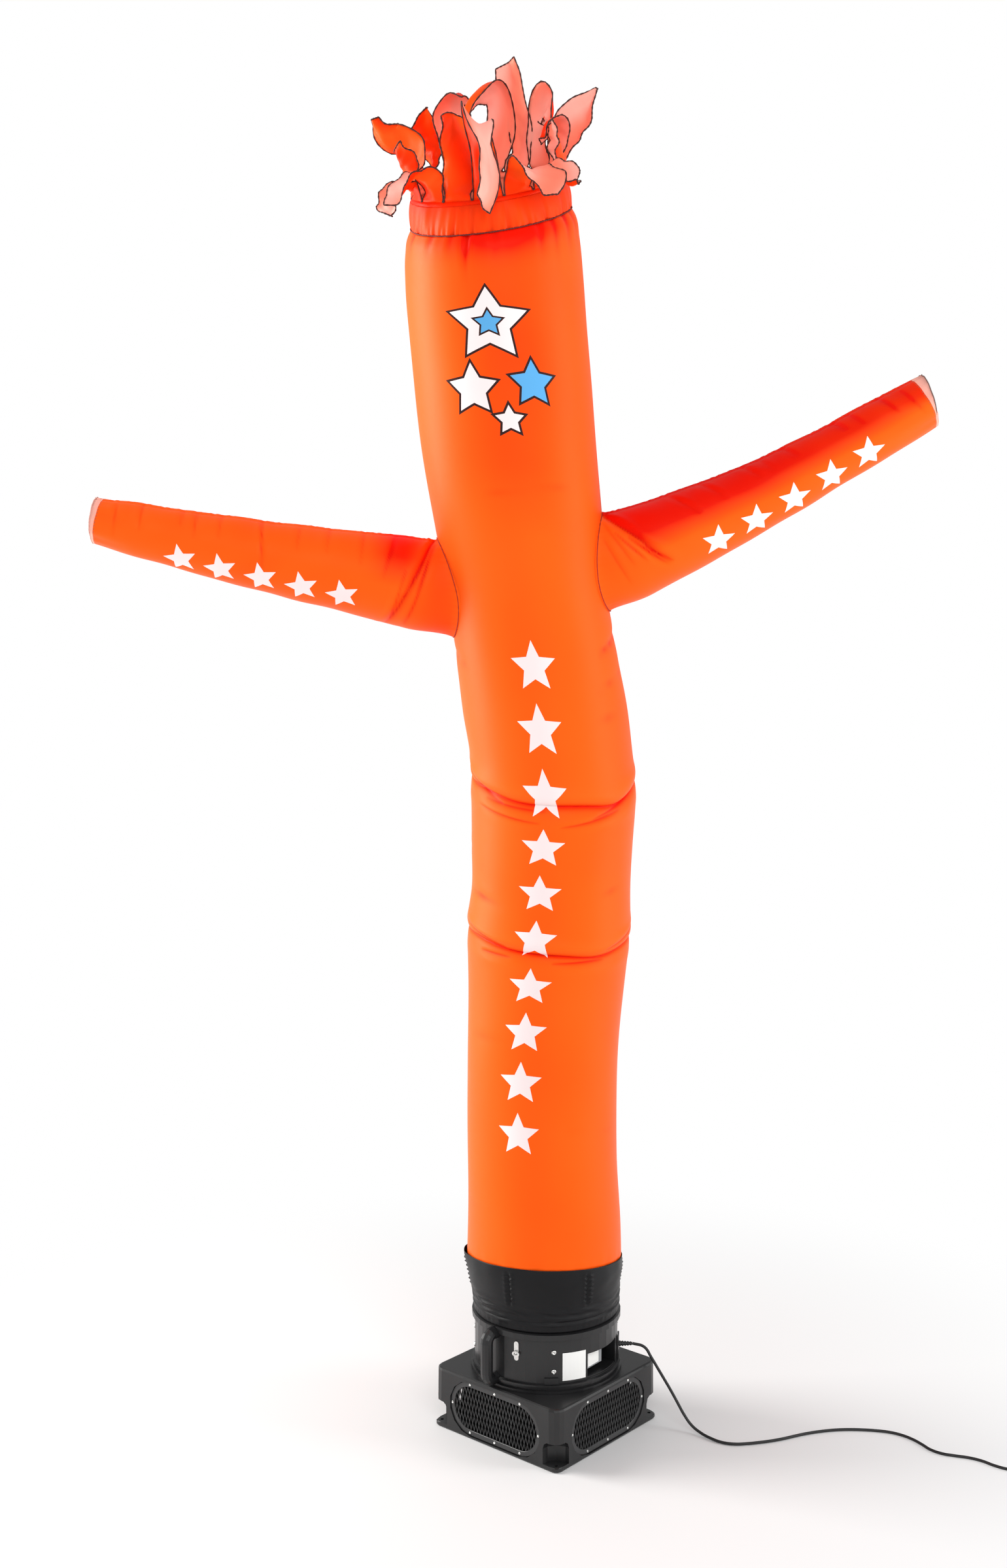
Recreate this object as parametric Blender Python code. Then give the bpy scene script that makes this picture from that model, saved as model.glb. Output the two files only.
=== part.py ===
"""An inflatable air dancer standing on its blower.

The frame: +Z up, the origin on the floor under the middle of the blower's drum, the dancer's front
towards -Y. All sizes are in metres. An azimuth is an angle around the drum from the front (-Y),
positive towards +X.
"""

import math

import bmesh
import bpy
import numpy as np
from mathutils import Vector

# Driving dimensions: clearances and cloth
GAP = 0.0003
CLOTH = 0.0015
CUT_PAST = 0.03

# How many sides the round cloth pieces have, and the body's rings that the arms meet
BODY_SIDES = 28
ARM_SIDES = 16
CUFF_SIDES = 42
BAND_SIDES = 52
SHOULDER_RINGS = slice(13, 19)

# Driving dimensions: the blower's square housing
HOUSING_YAW = 3.92
HOUSING_SIDE = 0.356
HOUSING_TOP = 0.136
HOUSING_CORNER = 0.024
CAVITY_CORNER = 0.079
HOUSING_WALL = 0.010
HOUSING_FLOOR = 0.006
HOUSING_ROOF = 0.006
FOOT_TOP = 0.0105
FOOT_CORNER = 0.014
POCKET_TOP = 0.060
POCKET_RADIUS = 0.038
POCKET_INSET = 0.0045
LUG_HOLE_RADIUS = 0.0042
LUG_HOLE_REACH = 0.233

# Driving dimensions: the four oblong grilles
GRILLE_LENGTH = 0.257
GRILLE_HEIGHT = 0.1200
GRILLE_MIDDLE = 0.0660
GRILLE_SET_BACK = 0.0032
GRILLE_THICK = 0.0035
GRILLE_CLEAR = 0.002
MESH_LENGTH = 0.236
MESH_HEIGHT = 0.097
MESH_PITCH = 0.0185
MESH_RISE = 0.0615
MESH_STRAND = 0.0046

# Driving dimensions: the round drum on the housing
DRUM_RADIUS = 0.159
DRUM_BORE = 0.153
DRUM_NECK = 0.157
DRUM_TOP = 0.300
DRUM_SIDES = 40
FLANGE_RADIUS = 0.168
BEAD_RADIUS = 0.1655
RIM_LOW = 0.250
RIM_TOP = 0.268

# Driving dimensions: the equipment window in the drum
WINDOW_MIDDLE = 52.0
WINDOW_WIDTH = 0.108
WINDOW_LOW = 0.158
WINDOW_HIGH = 0.214
TRAY_BACK = 0.095
TRAY_WALL = 0.0025
TRAY_SET_BACK = 0.0015
TRAY_FACE_SIDES = 64
BOX_WIDTH = 0.066
BOX_HEIGHT = 0.040
BOX_FRONT = 0.1395
PANEL_WIDTH = 0.040
PANEL_EDGE = 0.004
PANEL_THICK = 0.0015

# Driving dimensions: fittings on the drum, as azimuth in degrees and height
HANDLE_AZIMUTH = -45.0
HANDLE_REACH = 0.1860
HANDLE_LOW = 0.1508
HANDLE_HIGH = 0.2530
HANDLE_BAR = 0.0137
HANDLE_BEND = 0.018
LATCH_AZIMUTH = -25.0
LATCH_LOW = 0.2026
LATCH_HIGH = 0.2450
LATCH_WIDTH = 0.0105
LATCH_THICK = 0.0018
STAPLE_HEIGHT = 0.2185
STAPLE_THICK = 0.0035
STAPLE_OUTSIDE = (0.0085, 0.0060)
STAPLE_INSIDE = (0.0045, 0.0028)
PLATE_AZIMUTH = 21.0
PLATE_SIZE = (0.0540, 0.0610)
PLATE_MIDDLE = 0.1925
PLATE_THICK = 0.0008
SCREW_AZIMUTH = 4.5
SCREW_HEIGHTS = (0.1830, 0.2255)
SCREW_RADIUS = 0.0043
SCREW_HEAD = 0.0022
TAB_AZIMUTH = 2.6
TAB_WIDTH = 0.030
TAB_LOW = 0.1565
TAB_HIGH = 0.1695
TAB_THICK = 0.004
COVER_AZIMUTH = 84.0
COVER_LOW = 0.1570
COVER_HIGH = 0.2080
COVER_WIDTH = 0.030
COVER_THICK = 0.0035
EXIT_HEIGHT = 0.1785

# Driving dimensions: the mains cord
CORD_RADIUS = 0.0032
CORD_BEVEL_STEPS = 2
CORD_POINTS = 62
CORD_STRAIGHT = 0.006
COIL_TURN = 0.0380
COIL_TURNS_ACROSS = 3
COIL_LAYERS = 2
COIL_SIDES = 24
COIL_BEVEL = 0.002
COIL_CENTRE = (1.0660, -0.3120)
RELIEF_LENGTH = 0.030
RELIEF_RIBS = 5
RELIEF_RADIUS = 0.0068
RELIEF_TIP = 0.0042
TAIL_HEADING = -32.0
PLUG_HEADING = -110.0
PLUG_MIDDLE = 0.0118
PLUG_NECK = 0.0048
PLUG_LENGTH = 0.0425
BLADE_OFF = 0.0063
BLADE_LENGTH = 0.016
PIN_LENGTH = 0.018

# Where the cord runs from the strain relief to the coil: x, y, z of the middle of the cord
CORD_ROUTE = [
    (0.2080, -0.0010, 0.1778),
    (0.2180, -0.0050, 0.1735),
    (0.2290, -0.0120, 0.1600),
    (0.2420, -0.0190, 0.1400),
    (0.2620, -0.0270, 0.1080),
    (0.2820, -0.0350, 0.0750),
    (0.3080, -0.0500, 0.0310),
    (0.3320, -0.0680, 0.0090),
    (0.3720, -0.1060, 0.0035),
    (0.4140, -0.1200, 0.0035),
    (0.4950, -0.1035, 0.0035),
    (0.5840, -0.0670, 0.0035),
    (0.6660, -0.0520, 0.0035),
    (0.7540, -0.0640, 0.0035),
    (0.8010, -0.1000, 0.0035),
    (0.8380, -0.1580, 0.0035),
    (0.9120, -0.1880, 0.0035),
    (0.9650, -0.2310, 0.0035),
]

# The dancer's body, a ring a row: z, x and y of its middle, radius, slope along x, slope along y, and
# how deep a fold pinches its front in
BODY_RINGS = [
    (0.3903, -0.005, 0.000, 0.1705, -0.026, -0.11, 0.000),
    (0.4700, -0.006, 0.000, 0.1690, 0.00, 0.00, 0.000),
    (0.6200, -0.009, 0.000, 0.1650, 0.00, 0.00, 0.000),
    (0.8200, -0.010, 0.000, 0.1645, 0.00, 0.00, 0.000),
    (0.9900, -0.002, 0.000, 0.1705, 0.00, 0.05, 0.000),
    (1.0850, 0.002, 0.000, 0.1765, -0.03, 0.14, 0.000),
    (1.1160, 0.004, 0.000, 0.1785, -0.04, 0.16, 0.014),
    (1.1470, 0.005, -0.001, 0.1775, -0.03, 0.17, 0.000),
    (1.2120, 0.009, -0.003, 0.1725, 0.00, 0.22, 0.000),
    (1.3100, 0.010, -0.006, 0.1740, 0.00, 0.30, 0.000),
    (1.4150, 0.012, -0.010, 0.1785, -0.02, 0.37, 0.000),
    (1.4490, 0.012, -0.012, 0.1795, -0.03, 0.39, 0.016),
    (1.4840, 0.010, -0.015, 0.1770, -0.02, 0.36, 0.000),
    (1.6000, -0.006, -0.026, 0.1770, 0.00, 0.22, 0.000),
    (1.7100, -0.024, -0.040, 0.1720, 0.00, 0.12, 0.000),
    (1.8200, -0.040, -0.053, 0.1680, 0.00, 0.05, 0.000),
    (1.9300, -0.056, -0.068, 0.1740, 0.00, 0.03, 0.000),
    (2.0600, -0.073, -0.086, 0.1800, 0.00, 0.03, 0.000),
    (2.2200, -0.092, -0.110, 0.1820, 0.00, 0.06, 0.000),
    (2.3700, -0.106, -0.134, 0.1825, 0.00, 0.12, 0.000),
    (2.4750, -0.114, -0.152, 0.1805, 0.06, 0.23, 0.000),
    (2.5420, -0.118, -0.164, 0.1760, 0.10, 0.34, 0.000),
    (2.5780, -0.119, -0.171, 0.1695, 0.13, 0.39, 0.000),
    (2.5940, -0.120, -0.175, 0.1605, 0.14, 0.41, 0.000),
]

# The gathered band above the head seam, in the body's columns
BAND_RINGS = [
    (2.5947, -0.120, -0.1752, 0.1605, 0.14, 0.41, 0.000),
    (2.6200, -0.122, -0.1795, 0.1590, 0.14, 0.41, 0.000),
    (2.6450, -0.1245, -0.1830, 0.1575, 0.14, 0.41, 0.000),
]
BAND_GATHERS = 13
BAND_GATHER_DEPTH = 0.0022

# The black cuff between the drum and the body, in the body's columns
CUFF_RINGS = [
    (0.2683, 0.0000, 0.000, 0.1600, 0.00, 0.00, 0.000),
    (0.2840, 0.0000, 0.000, 0.1614, 0.00, 0.00, 0.000),
    (0.3000, -0.001, 0.000, 0.1622, 0.00, 0.00, 0.000),
    (0.3300, -0.003, 0.000, 0.1660, 0.00, -0.03, 0.000),
    (0.3640, -0.004, 0.000, 0.1712, -0.02, -0.08, 0.000),
    (0.3900, -0.005, 0.000, 0.1722, -0.026, -0.11, 0.000),
]
CUFF_DARTS = 6
CUFF_DART_AZIMUTH = -28.5
CUFF_DART_DEPTH = 0.0025
CUFF_DART_LOW = 0.290
CUFF_DART_HIGH = 0.370

# The arms, a ring a row: x, y and z of its middle, radius, and how deep a crease pinches its front
LEFT_ARM = [
    (-0.1000, -0.064, 1.846, 0.0975, 0.000),
    (-0.1700, -0.066, 1.852, 0.0975, 0.000),
    (-0.2300, -0.068, 1.858, 0.0970, 0.000),
    (-0.2760, -0.071, 1.864, 0.0960, 0.000),
    (-0.2960, -0.073, 1.868, 0.0945, 0.009),
    (-0.3180, -0.075, 1.872, 0.0935, 0.000),
    (-0.4200, -0.083, 1.890, 0.0850, 0.000),
    (-0.5400, -0.090, 1.911, 0.0765, 0.000),
    (-0.6700, -0.095, 1.936, 0.0680, 0.000),
    (-0.8100, -0.099, 1.965, 0.0575, 0.000),
    (-0.9000, -0.101, 1.985, 0.0515, 0.000),
    (-0.9480, -0.102, 1.996, 0.0465, 0.000),
]
RIGHT_ARM = [
    (-0.0100, -0.074, 1.884, 0.0975, 0.000),
    (0.0600, -0.076, 1.897, 0.0975, 0.000),
    (0.1200, -0.078, 1.910, 0.0970, 0.000),
    (0.1750, -0.080, 1.928, 0.0950, 0.000),
    (0.2000, -0.081, 1.938, 0.0925, 0.009),
    (0.2260, -0.083, 1.949, 0.0905, 0.000),
    (0.3300, -0.088, 1.995, 0.0800, 0.000),
    (0.4560, -0.093, 2.056, 0.0695, 0.000),
    (0.5700, -0.098, 2.118, 0.0630, 0.000),
    (0.6900, -0.103, 2.186, 0.0590, 0.000),
    (0.7500, -0.105, 2.221, 0.0565, 0.000),
    (0.7820, -0.106, 2.240, 0.0545, 0.000),
]

# The streamers: a narrow ring of cloth above the band carries sixteen strips
HAIR_CENTRE = (-0.1245, -0.1830, 2.6453)
HAIR_RADIUS = 0.1570
HAIR_SLOPES = (0.14, 0.41)
HAIR_HEIGHT = 0.010
HAIR_HALF_ANGLE = 8.6
STREAMER_STEPS = 9
STREAMER_CLOTH = 0.0015
STREAMER_UPRIGHT = 0.012

# Each streamer: its azimuth, its twist at the tip in degrees, its widths at even steps from root to
# tip as shares of the root's, and the points its middle passes through, measured from its root
STREAMERS = [
    ("curved_tall", 180.0, 15.0, (1.0, 1.05, 1.0, 0.7),
     [(0.012, -0.008, 0.034), (0.022, -0.022, 0.078), (0.020, -0.045, 0.114), (0.014, -0.078, 0.134),
      (-0.006, -0.112, 0.128), (-0.030, -0.142, 0.098), (-0.050, -0.160, 0.060)]),
    ("tallest", 157.5, 8.0, (1.0, 1.0, 0.95, 0.8),
     [(0.010, -0.003, 0.032), (0.008, -0.010, 0.085), (-0.006, -0.018, 0.145), (-0.016, -0.030, 0.198)]),
    ("pink_fold", 135.0, -20.0, (1.0, 1.1, 1.2, 0.5),
     [(-0.004, -0.004, 0.030), (-0.006, -0.014, 0.070), (0.000, -0.034, 0.100), (0.008, -0.060, 0.100),
      (0.012, -0.082, 0.070), (0.010, -0.092, 0.034)]),
    ("far_right", 112.5, 25.0, (1.0, 1.1, 1.3, 0.9, 0.2),
     [(0.008, 0.000, 0.030), (0.020, 0.006, 0.074), (0.042, 0.010, 0.120), (0.074, 0.010, 0.163)]),
    ("right_loop", 90.0, 20.0, (1.0, 1.0, 0.9, 0.6),
     [(-0.002, -0.004, 0.030), (-0.008, -0.010, 0.060), (-0.022, -0.018, 0.082), (-0.040, -0.026, 0.078),
      (-0.052, -0.032, 0.050)]),
    ("side_small", 67.5, 8.0, (1.0, 0.9, 0.7),
     [(-0.002, -0.010, 0.024), (0.004, -0.017, 0.046), (0.014, -0.023, 0.062)]),
    ("right_flap", 45.0, -10.0, (1.0, 1.0, 0.9, 0.4),
     [(0.002, -0.014, 0.024), (0.014, -0.030, 0.026), (0.032, -0.048, 0.008), (0.046, -0.062, -0.016),
      (0.056, -0.070, -0.034)]),
    ("front_right", 22.5, 10.0, (1.0, 1.2, 1.3, 0.9),
     [(0.002, -0.006, 0.022), (0.012, -0.026, 0.034), (0.026, -0.056, 0.022), (0.038, -0.080, -0.008),
      (0.044, -0.090, -0.036)]),
    ("front_hang", 0.0, -25.0, (1.0, 0.8, 1.1, 0.9, 1.0, 0.5),
     [(0.000, 0.002, 0.030), (-0.002, 0.002, 0.082), (-0.008, -0.008, 0.126), (-0.016, -0.034, 0.142),
      (-0.020, -0.060, 0.108), (-0.018, -0.070, 0.054), (-0.016, -0.074, 0.002), (-0.018, -0.078, -0.034)]),
    ("front_tall", -22.5, 20.0, (1.0, 1.1, 1.1, 0.8),
     [(0.000, 0.008, 0.040), (0.000, 0.024, 0.092), (0.004, 0.044, 0.140), (0.014, 0.066, 0.176)]),
    ("pale_flap", -45.0, 6.0, (1.0, 1.4, 1.6, 1.5),
     [(-0.008, -0.012, 0.026), (-0.020, -0.030, 0.034), (-0.036, -0.050, 0.020), (-0.046, -0.062, -0.002),
      (-0.050, -0.068, -0.016)]),
    ("left_hang", -67.5, -10.0, (1.0, 0.9, 0.8),
     [(-0.008, -0.004, 0.018), (-0.030, -0.012, 0.020), (-0.046, -0.020, -0.004), (-0.052, -0.024, -0.036)]),
    ("left_strip", -90.0, 30.0, (1.0, 0.8, 0.6),
     [(-0.006, -0.002, 0.030), (-0.016, -0.006, 0.060), (-0.032, -0.012, 0.084)]),
    ("left_curl", -112.5, 30.0, (1.0, 0.9, 0.9, 0.3),
     [(-0.004, 0.002, 0.036), (-0.016, 0.002, 0.070), (-0.042, -0.002, 0.088), (-0.070, -0.004, 0.096),
      (-0.086, -0.006, 0.114), (-0.096, -0.008, 0.138)]),
    ("pointed", -135.0, 10.0, (1.0, 0.9, 1.0, 1.2, 2.0, 0.1),
     [(-0.008, -0.002, 0.044), (-0.014, -0.004, 0.080), (-0.018, -0.006, 0.110), (-0.020, -0.008, 0.138)]),
    ("left_tall", -157.5, -15.0, (1.0, 1.2, 1.3, 0.6),
     [(-0.008, -0.006, 0.038), (-0.016, -0.020, 0.078), (-0.016, -0.044, 0.108), (-0.006, -0.074, 0.122)]),
]

FRONT = math.radians(-90.0)


def clear_scene():
    for item in list(bpy.data.objects):
        bpy.data.objects.remove(item)


def make_material(name, colour, roughness, metallic=0.0):
    material = bpy.data.materials.new(name)
    material.use_nodes = True
    shader = material.node_tree.nodes["Principled BSDF"]
    shader.inputs["Base Color"].default_value = (*colour, 1.0)
    shader.inputs["Roughness"].default_value = roughness
    shader.inputs["Metallic"].default_value = metallic
    return material


def make_object(name, verts, faces, material=None, smooth_angle=None):
    mesh = bpy.data.meshes.new(name)
    mesh.from_pydata([tuple(v) for v in verts], [], faces)
    work = bmesh.new()
    work.from_mesh(mesh)
    bmesh.ops.recalc_face_normals(work, faces=work.faces)
    work.to_mesh(mesh)
    work.free()
    if smooth_angle is not None:
        mesh.shade_smooth()
        mesh.set_sharp_from_angle(angle=math.radians(smooth_angle))
    item = bpy.data.objects.new(name, mesh)
    bpy.context.scene.collection.objects.link(item)
    if material is not None:
        mesh.materials.append(material)
    return item


def make_cutter(name, verts, faces):
    item = make_object(name, verts, faces)
    item.hide_render = True
    item.display_type = "WIRE"
    return item


def cut(item, cutter, operation="DIFFERENCE"):
    modifier = item.modifiers.new(cutter.name, "BOOLEAN")
    modifier.operation = operation
    modifier.solver = "EXACT"
    modifier.object = cutter


def around(azimuth, radius, height=0.0):
    """A point at an azimuth from the front, a radius from the drum's axis and a height."""
    angle = FRONT + math.radians(azimuth)
    return Vector((radius * math.cos(angle), radius * math.sin(angle), height))


def stack(rings):
    """The points and faces of a closed body between the first ring and the last."""
    count = len(rings[0])
    verts = [point for ring in rings for point in ring]
    faces = []
    for level in range(len(rings) - 1):
        for i in range(count):
            a = level * count + i
            b = level * count + (i + 1) % count
            faces.append((a, b, b + count, a + count))
    faces.append(tuple(reversed(range(count))))
    faces.append(tuple(range((len(rings) - 1) * count, len(rings) * count)))
    return verts, faces


def sleeve(outer, inner):
    """The points and faces of an open sleeve: outer rings, inner rings and the two rims."""
    loop = outer + inner[::-1]
    verts = [point for ring in loop for point in ring]
    return verts, ring_faces(len(loop), len(outer[0]))


def join_shapes(shapes):
    """Several separate closed shapes as the points and faces of one cutter."""
    verts = []
    faces = []
    for shape_verts, shape_faces in shapes:
        start = len(verts)
        verts += list(shape_verts)
        faces += [tuple(start + i for i in face) for face in shape_faces]
    return verts, faces


def prism(outline, low, high):
    """An upright prism on an outline of (x, y) points."""
    return stack([[(x, y, low) for x, y in outline], [(x, y, high) for x, y in outline]])


def disc(radius, sides, centre=(0.0, 0.0)):
    return [(centre[0] + radius * math.cos(2 * math.pi * i / sides),
             centre[1] + radius * math.sin(2 * math.pi * i / sides)) for i in range(sides)]


def rounded_square(side, corner, steps=3):
    """A square outline with round corners, centred on the origin."""
    reach = side / 2 - corner
    points = []
    for turn, (sx, sy) in enumerate([(1, 1), (-1, 1), (-1, -1), (1, -1)]):
        for step in range(steps + 1):
            angle = math.radians(90 * turn + 90 * step / steps)
            points.append((sx * reach + corner * math.cos(angle), sy * reach + corner * math.sin(angle)))
    return points


def oblong(length, height, steps=7):
    """An outline with two straight sides and two round ends, centred on the origin."""
    radius = height / 2
    reach = length / 2 - radius
    points = []
    for side, start in ((1, -90), (-1, 90)):
        for step in range(steps + 1):
            angle = math.radians(start + 180 * step / steps)
            points.append((side * reach + radius * math.cos(angle), radius * math.sin(angle)))
    return points


def place(points, origin, across, up, out):
    """Points given as (across, up, out) placed in a frame of three directions."""
    return [origin + across * p[0] + up * p[1] + out * p[2] for p in points]


def panel(outline, low, high, origin, across, up, out):
    """A flat panel on an outline, between two distances along out."""
    verts, faces = stack([[(u, v, low) for u, v in outline], [(u, v, high) for u, v in outline]])
    return place(verts, origin, across, up, out), faces


def drum_frame(azimuth, radius, height):
    """The frame of a fitting on the drum: its origin, across, up and out."""
    out = around(azimuth, 1.0)
    across = Vector((-out.y, out.x, 0.0))
    return around(azimuth, radius, height), across, Vector((0, 0, 1)), out


def side_frame(turn):
    """The frame of one side of the housing."""
    angle = math.radians(HOUSING_YAW - 45.0 + 90.0 * turn)
    out = Vector((math.cos(angle), math.sin(angle), 0.0))
    across = Vector((-out.y, out.x, 0.0))
    return out * (HOUSING_SIDE / 2) + Vector((0, 0, GRILLE_MIDDLE)), across, Vector((0, 0, 1)), out


def corner_direction(turn):
    angle = math.radians(HOUSING_YAW + 90.0 * turn)
    return Vector((math.cos(angle), math.sin(angle), 0.0))


def turned(outline, angle):
    """An outline turned about the origin."""
    c = math.cos(angle)
    s = math.sin(angle)
    return [(c * x - s * y, s * x + c * y) for x, y in outline]


def make_housing(material):
    """The square moulded housing: hollow, with a recess on each side and a lug at each corner."""
    levels = [
        (0.000, HOUSING_SIDE - 0.004, FOOT_CORNER),
        (0.003, HOUSING_SIDE, FOOT_CORNER),
        (FOOT_TOP - 0.002, HOUSING_SIDE, FOOT_CORNER),
        (FOOT_TOP, HOUSING_SIDE - 0.0006, HOUSING_CORNER - 0.003),
        (HOUSING_TOP - 0.006, HOUSING_SIDE - 0.0006, HOUSING_CORNER),
        (HOUSING_TOP - 0.0018, HOUSING_SIDE - 0.0040, HOUSING_CORNER - 0.0015),
        (HOUSING_TOP, HOUSING_SIDE - 0.0110, HOUSING_CORNER - 0.004),
    ]
    yaw = math.radians(HOUSING_YAW - 45.0)
    rings = []
    for height, side, corner in levels:
        outline = turned(rounded_square(side, corner), yaw)
        rings.append([(x, y, height) for x, y in outline])
    verts, faces = stack(rings)
    housing = make_object("housing", verts, faces, material, 30)

    inner = turned(rounded_square(HOUSING_SIDE - 2 * HOUSING_WALL, CAVITY_CORNER), yaw)
    cavity = make_cutter("cut_cavity", *prism(inner, HOUSING_FLOOR, HOUSING_TOP - HOUSING_ROOF))
    bore = prism(disc(DRUM_BORE, DRUM_SIDES), HOUSING_TOP - CUT_PAST, HOUSING_TOP + CUT_PAST)
    throat = make_cutter("cut_throat", *bore)
    recess = oblong(GRILLE_LENGTH + GRILLE_CLEAR, GRILLE_HEIGHT + GRILLE_CLEAR)
    hole = oblong(MESH_LENGTH + GRILLE_CLEAR, MESH_HEIGHT + GRILLE_CLEAR)
    depth = GRILLE_SET_BACK + GRILLE_THICK + GAP
    recesses = [panel(recess, -depth, CUT_PAST, *side_frame(turn)) for turn in range(4)]
    holes = [panel(hole, -CUT_PAST, CUT_PAST, *side_frame(turn)) for turn in range(4)]
    pockets = []
    screws = []
    for turn in range(4):
        reach = HOUSING_SIDE / 2 * math.sqrt(2) - POCKET_INSET
        middle = corner_direction(turn) * reach
        ring = disc(1.0, 12)
        shape = [(FOOT_TOP, 1.0), (POCKET_TOP - 0.016, 1.0), (POCKET_TOP - 0.005, 0.90), (POCKET_TOP, 0.70)]
        rings = [[(middle.x + POCKET_RADIUS * k * x, middle.y + POCKET_RADIUS * k * y, z) for x, y in ring]
                 for z, k in shape]
        pockets.append(stack(rings))
        spot = corner_direction(turn) * LUG_HOLE_REACH
        screws.append(prism(disc(LUG_HOLE_RADIUS, 8, (spot.x, spot.y)), -CUT_PAST, FOOT_TOP + CUT_PAST / 2))
    cutters = [cavity, throat, make_cutter("cut_recesses", *join_shapes(recesses)),
               make_cutter("cut_side_holes", *join_shapes(holes)),
               make_cutter("cut_pockets", *join_shapes(pockets)),
               make_cutter("cut_lug_holes", *join_shapes(screws))]
    for cutter in cutters:
        cut(housing, cutter)


def inside_oblong(u, v, length, height):
    reach = length / 2 - height / 2
    return math.hypot(max(0.0, abs(u) - reach), v) < height / 2


def make_grille(turn, name, material):
    """A flat oblong plate with a diamond mesh cut through it and screw heads at its rim."""
    origin, across, up, out = side_frame(turn)
    front = -GRILLE_SET_BACK
    back = -GRILLE_SET_BACK - GRILLE_THICK
    outline = oblong(GRILLE_LENGTH, GRILLE_HEIGHT)
    plate = make_object(name, *panel(outline, back, front, origin, across, up, out), material, 30)
    half_wide = (MESH_PITCH - MESH_STRAND) / 2
    half_high = half_wide * MESH_RISE / MESH_PITCH
    diamonds = []
    for row in range(-3, 4):
        for column in range(-8, 9):
            if (row + column) % 2:
                continue
            u = column * MESH_PITCH / 2
            v = row * MESH_RISE / 2
            low = max(v - half_high, -MESH_HEIGHT / 2)
            high = min(v + half_high, MESH_HEIGHT / 2)
            middle = (low + high) / 2
            if high - low < 0.010 or not inside_oblong(u, 0.8 * middle, MESH_LENGTH - 0.01, MESH_HEIGHT):
                continue
            shape = diamond_outline(u, v, half_wide, half_high, low, high)
            if all(inside_oblong(x, y, MESH_LENGTH + 0.004, MESH_HEIGHT + 0.004) for x, y in shape):
                diamonds.append(panel(shape, back - 0.005, front + 0.005, origin, across, up, out))
    cut(plate, make_cutter("cut_" + name, *join_shapes(diamonds)))


def diamond_outline(u, v, half_wide, half_high, low, high):
    """A diamond about (u, v), cut off level at low and high."""
    def half_at(y):
        return half_wide * max(0.0, 1 - abs(y - v) / half_high)
    points = []
    if v - half_high >= low - 1e-9:
        points.append((u, v - half_high))
    else:
        points += [(u - half_at(low), low), (u + half_at(low), low)]
    if low < v < high:
        points.append((u + half_wide, v))
    if v + half_high <= high + 1e-9:
        points.append((u, v + half_high))
    else:
        points += [(u + half_at(high), high), (u - half_at(high), high)]
    if low < v < high:
        points.append((u - half_wide, v))
    return points


def drum_profile(grow=0.0):
    """The drum's outer side from bottom to top, as (radius, height)."""
    return [
        (FLANGE_RADIUS + grow, HOUSING_TOP + GAP),
        (FLANGE_RADIUS + grow, HOUSING_TOP + 0.006),
        (DRUM_RADIUS + 0.002 + grow, HOUSING_TOP + 0.0075),
        (DRUM_RADIUS + 0.002 + grow, HOUSING_TOP + 0.013),
        (BEAD_RADIUS + grow, HOUSING_TOP + 0.0145),
        (BEAD_RADIUS + grow, HOUSING_TOP + 0.0185),
        (DRUM_RADIUS + grow, HOUSING_TOP + 0.020),
        (DRUM_RADIUS + grow, RIM_LOW),
        (BEAD_RADIUS + grow, RIM_LOW + 0.003),
        (BEAD_RADIUS + grow, RIM_TOP - 0.003),
        (DRUM_NECK + grow, RIM_TOP - 0.0003),
        (DRUM_NECK + grow, DRUM_TOP),
    ]


def turn_profile(loop, sides):
    """The points and faces of a hollow round body whose section is a closed loop of (radius, height)."""
    verts = []
    for radius, height in loop:
        verts += [(x, y, height) for x, y in disc(radius, sides)]
    return verts, ring_faces(len(loop), sides)


def ring_faces(levels, count):
    """The faces between rings of equal count, the last ring joined to the first."""
    faces = []
    for level in range(levels):
        following = (level + 1) % levels
        for i in range(count):
            j = (i + 1) % count
            faces.append((level * count + i, level * count + j, following * count + j, following * count + i))
    return faces


def rectangle(left, right, low, high):
    return [(left, low), (right, low), (right, high), (left, high)]


def window_block():
    half = WINDOW_WIDTH / 2
    outline = rectangle(-half, half, WINDOW_LOW, WINDOW_HIGH)
    frame = drum_frame(WINDOW_MIDDLE, 0.0, 0.0)
    return make_cutter("cut_window", *panel(outline, TRAY_BACK, DRUM_RADIUS + CUT_PAST, *frame))


def make_drum(material):
    """The round drum: flange, wall, rim bead and the neck that the cuff is tied around."""
    loop = drum_profile() + [(DRUM_BORE, DRUM_TOP), (DRUM_BORE, HOUSING_TOP + GAP)]
    drum = make_object("drum", *turn_profile(loop, DRUM_SIDES), material, 30)
    cut(drum, window_block())


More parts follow.
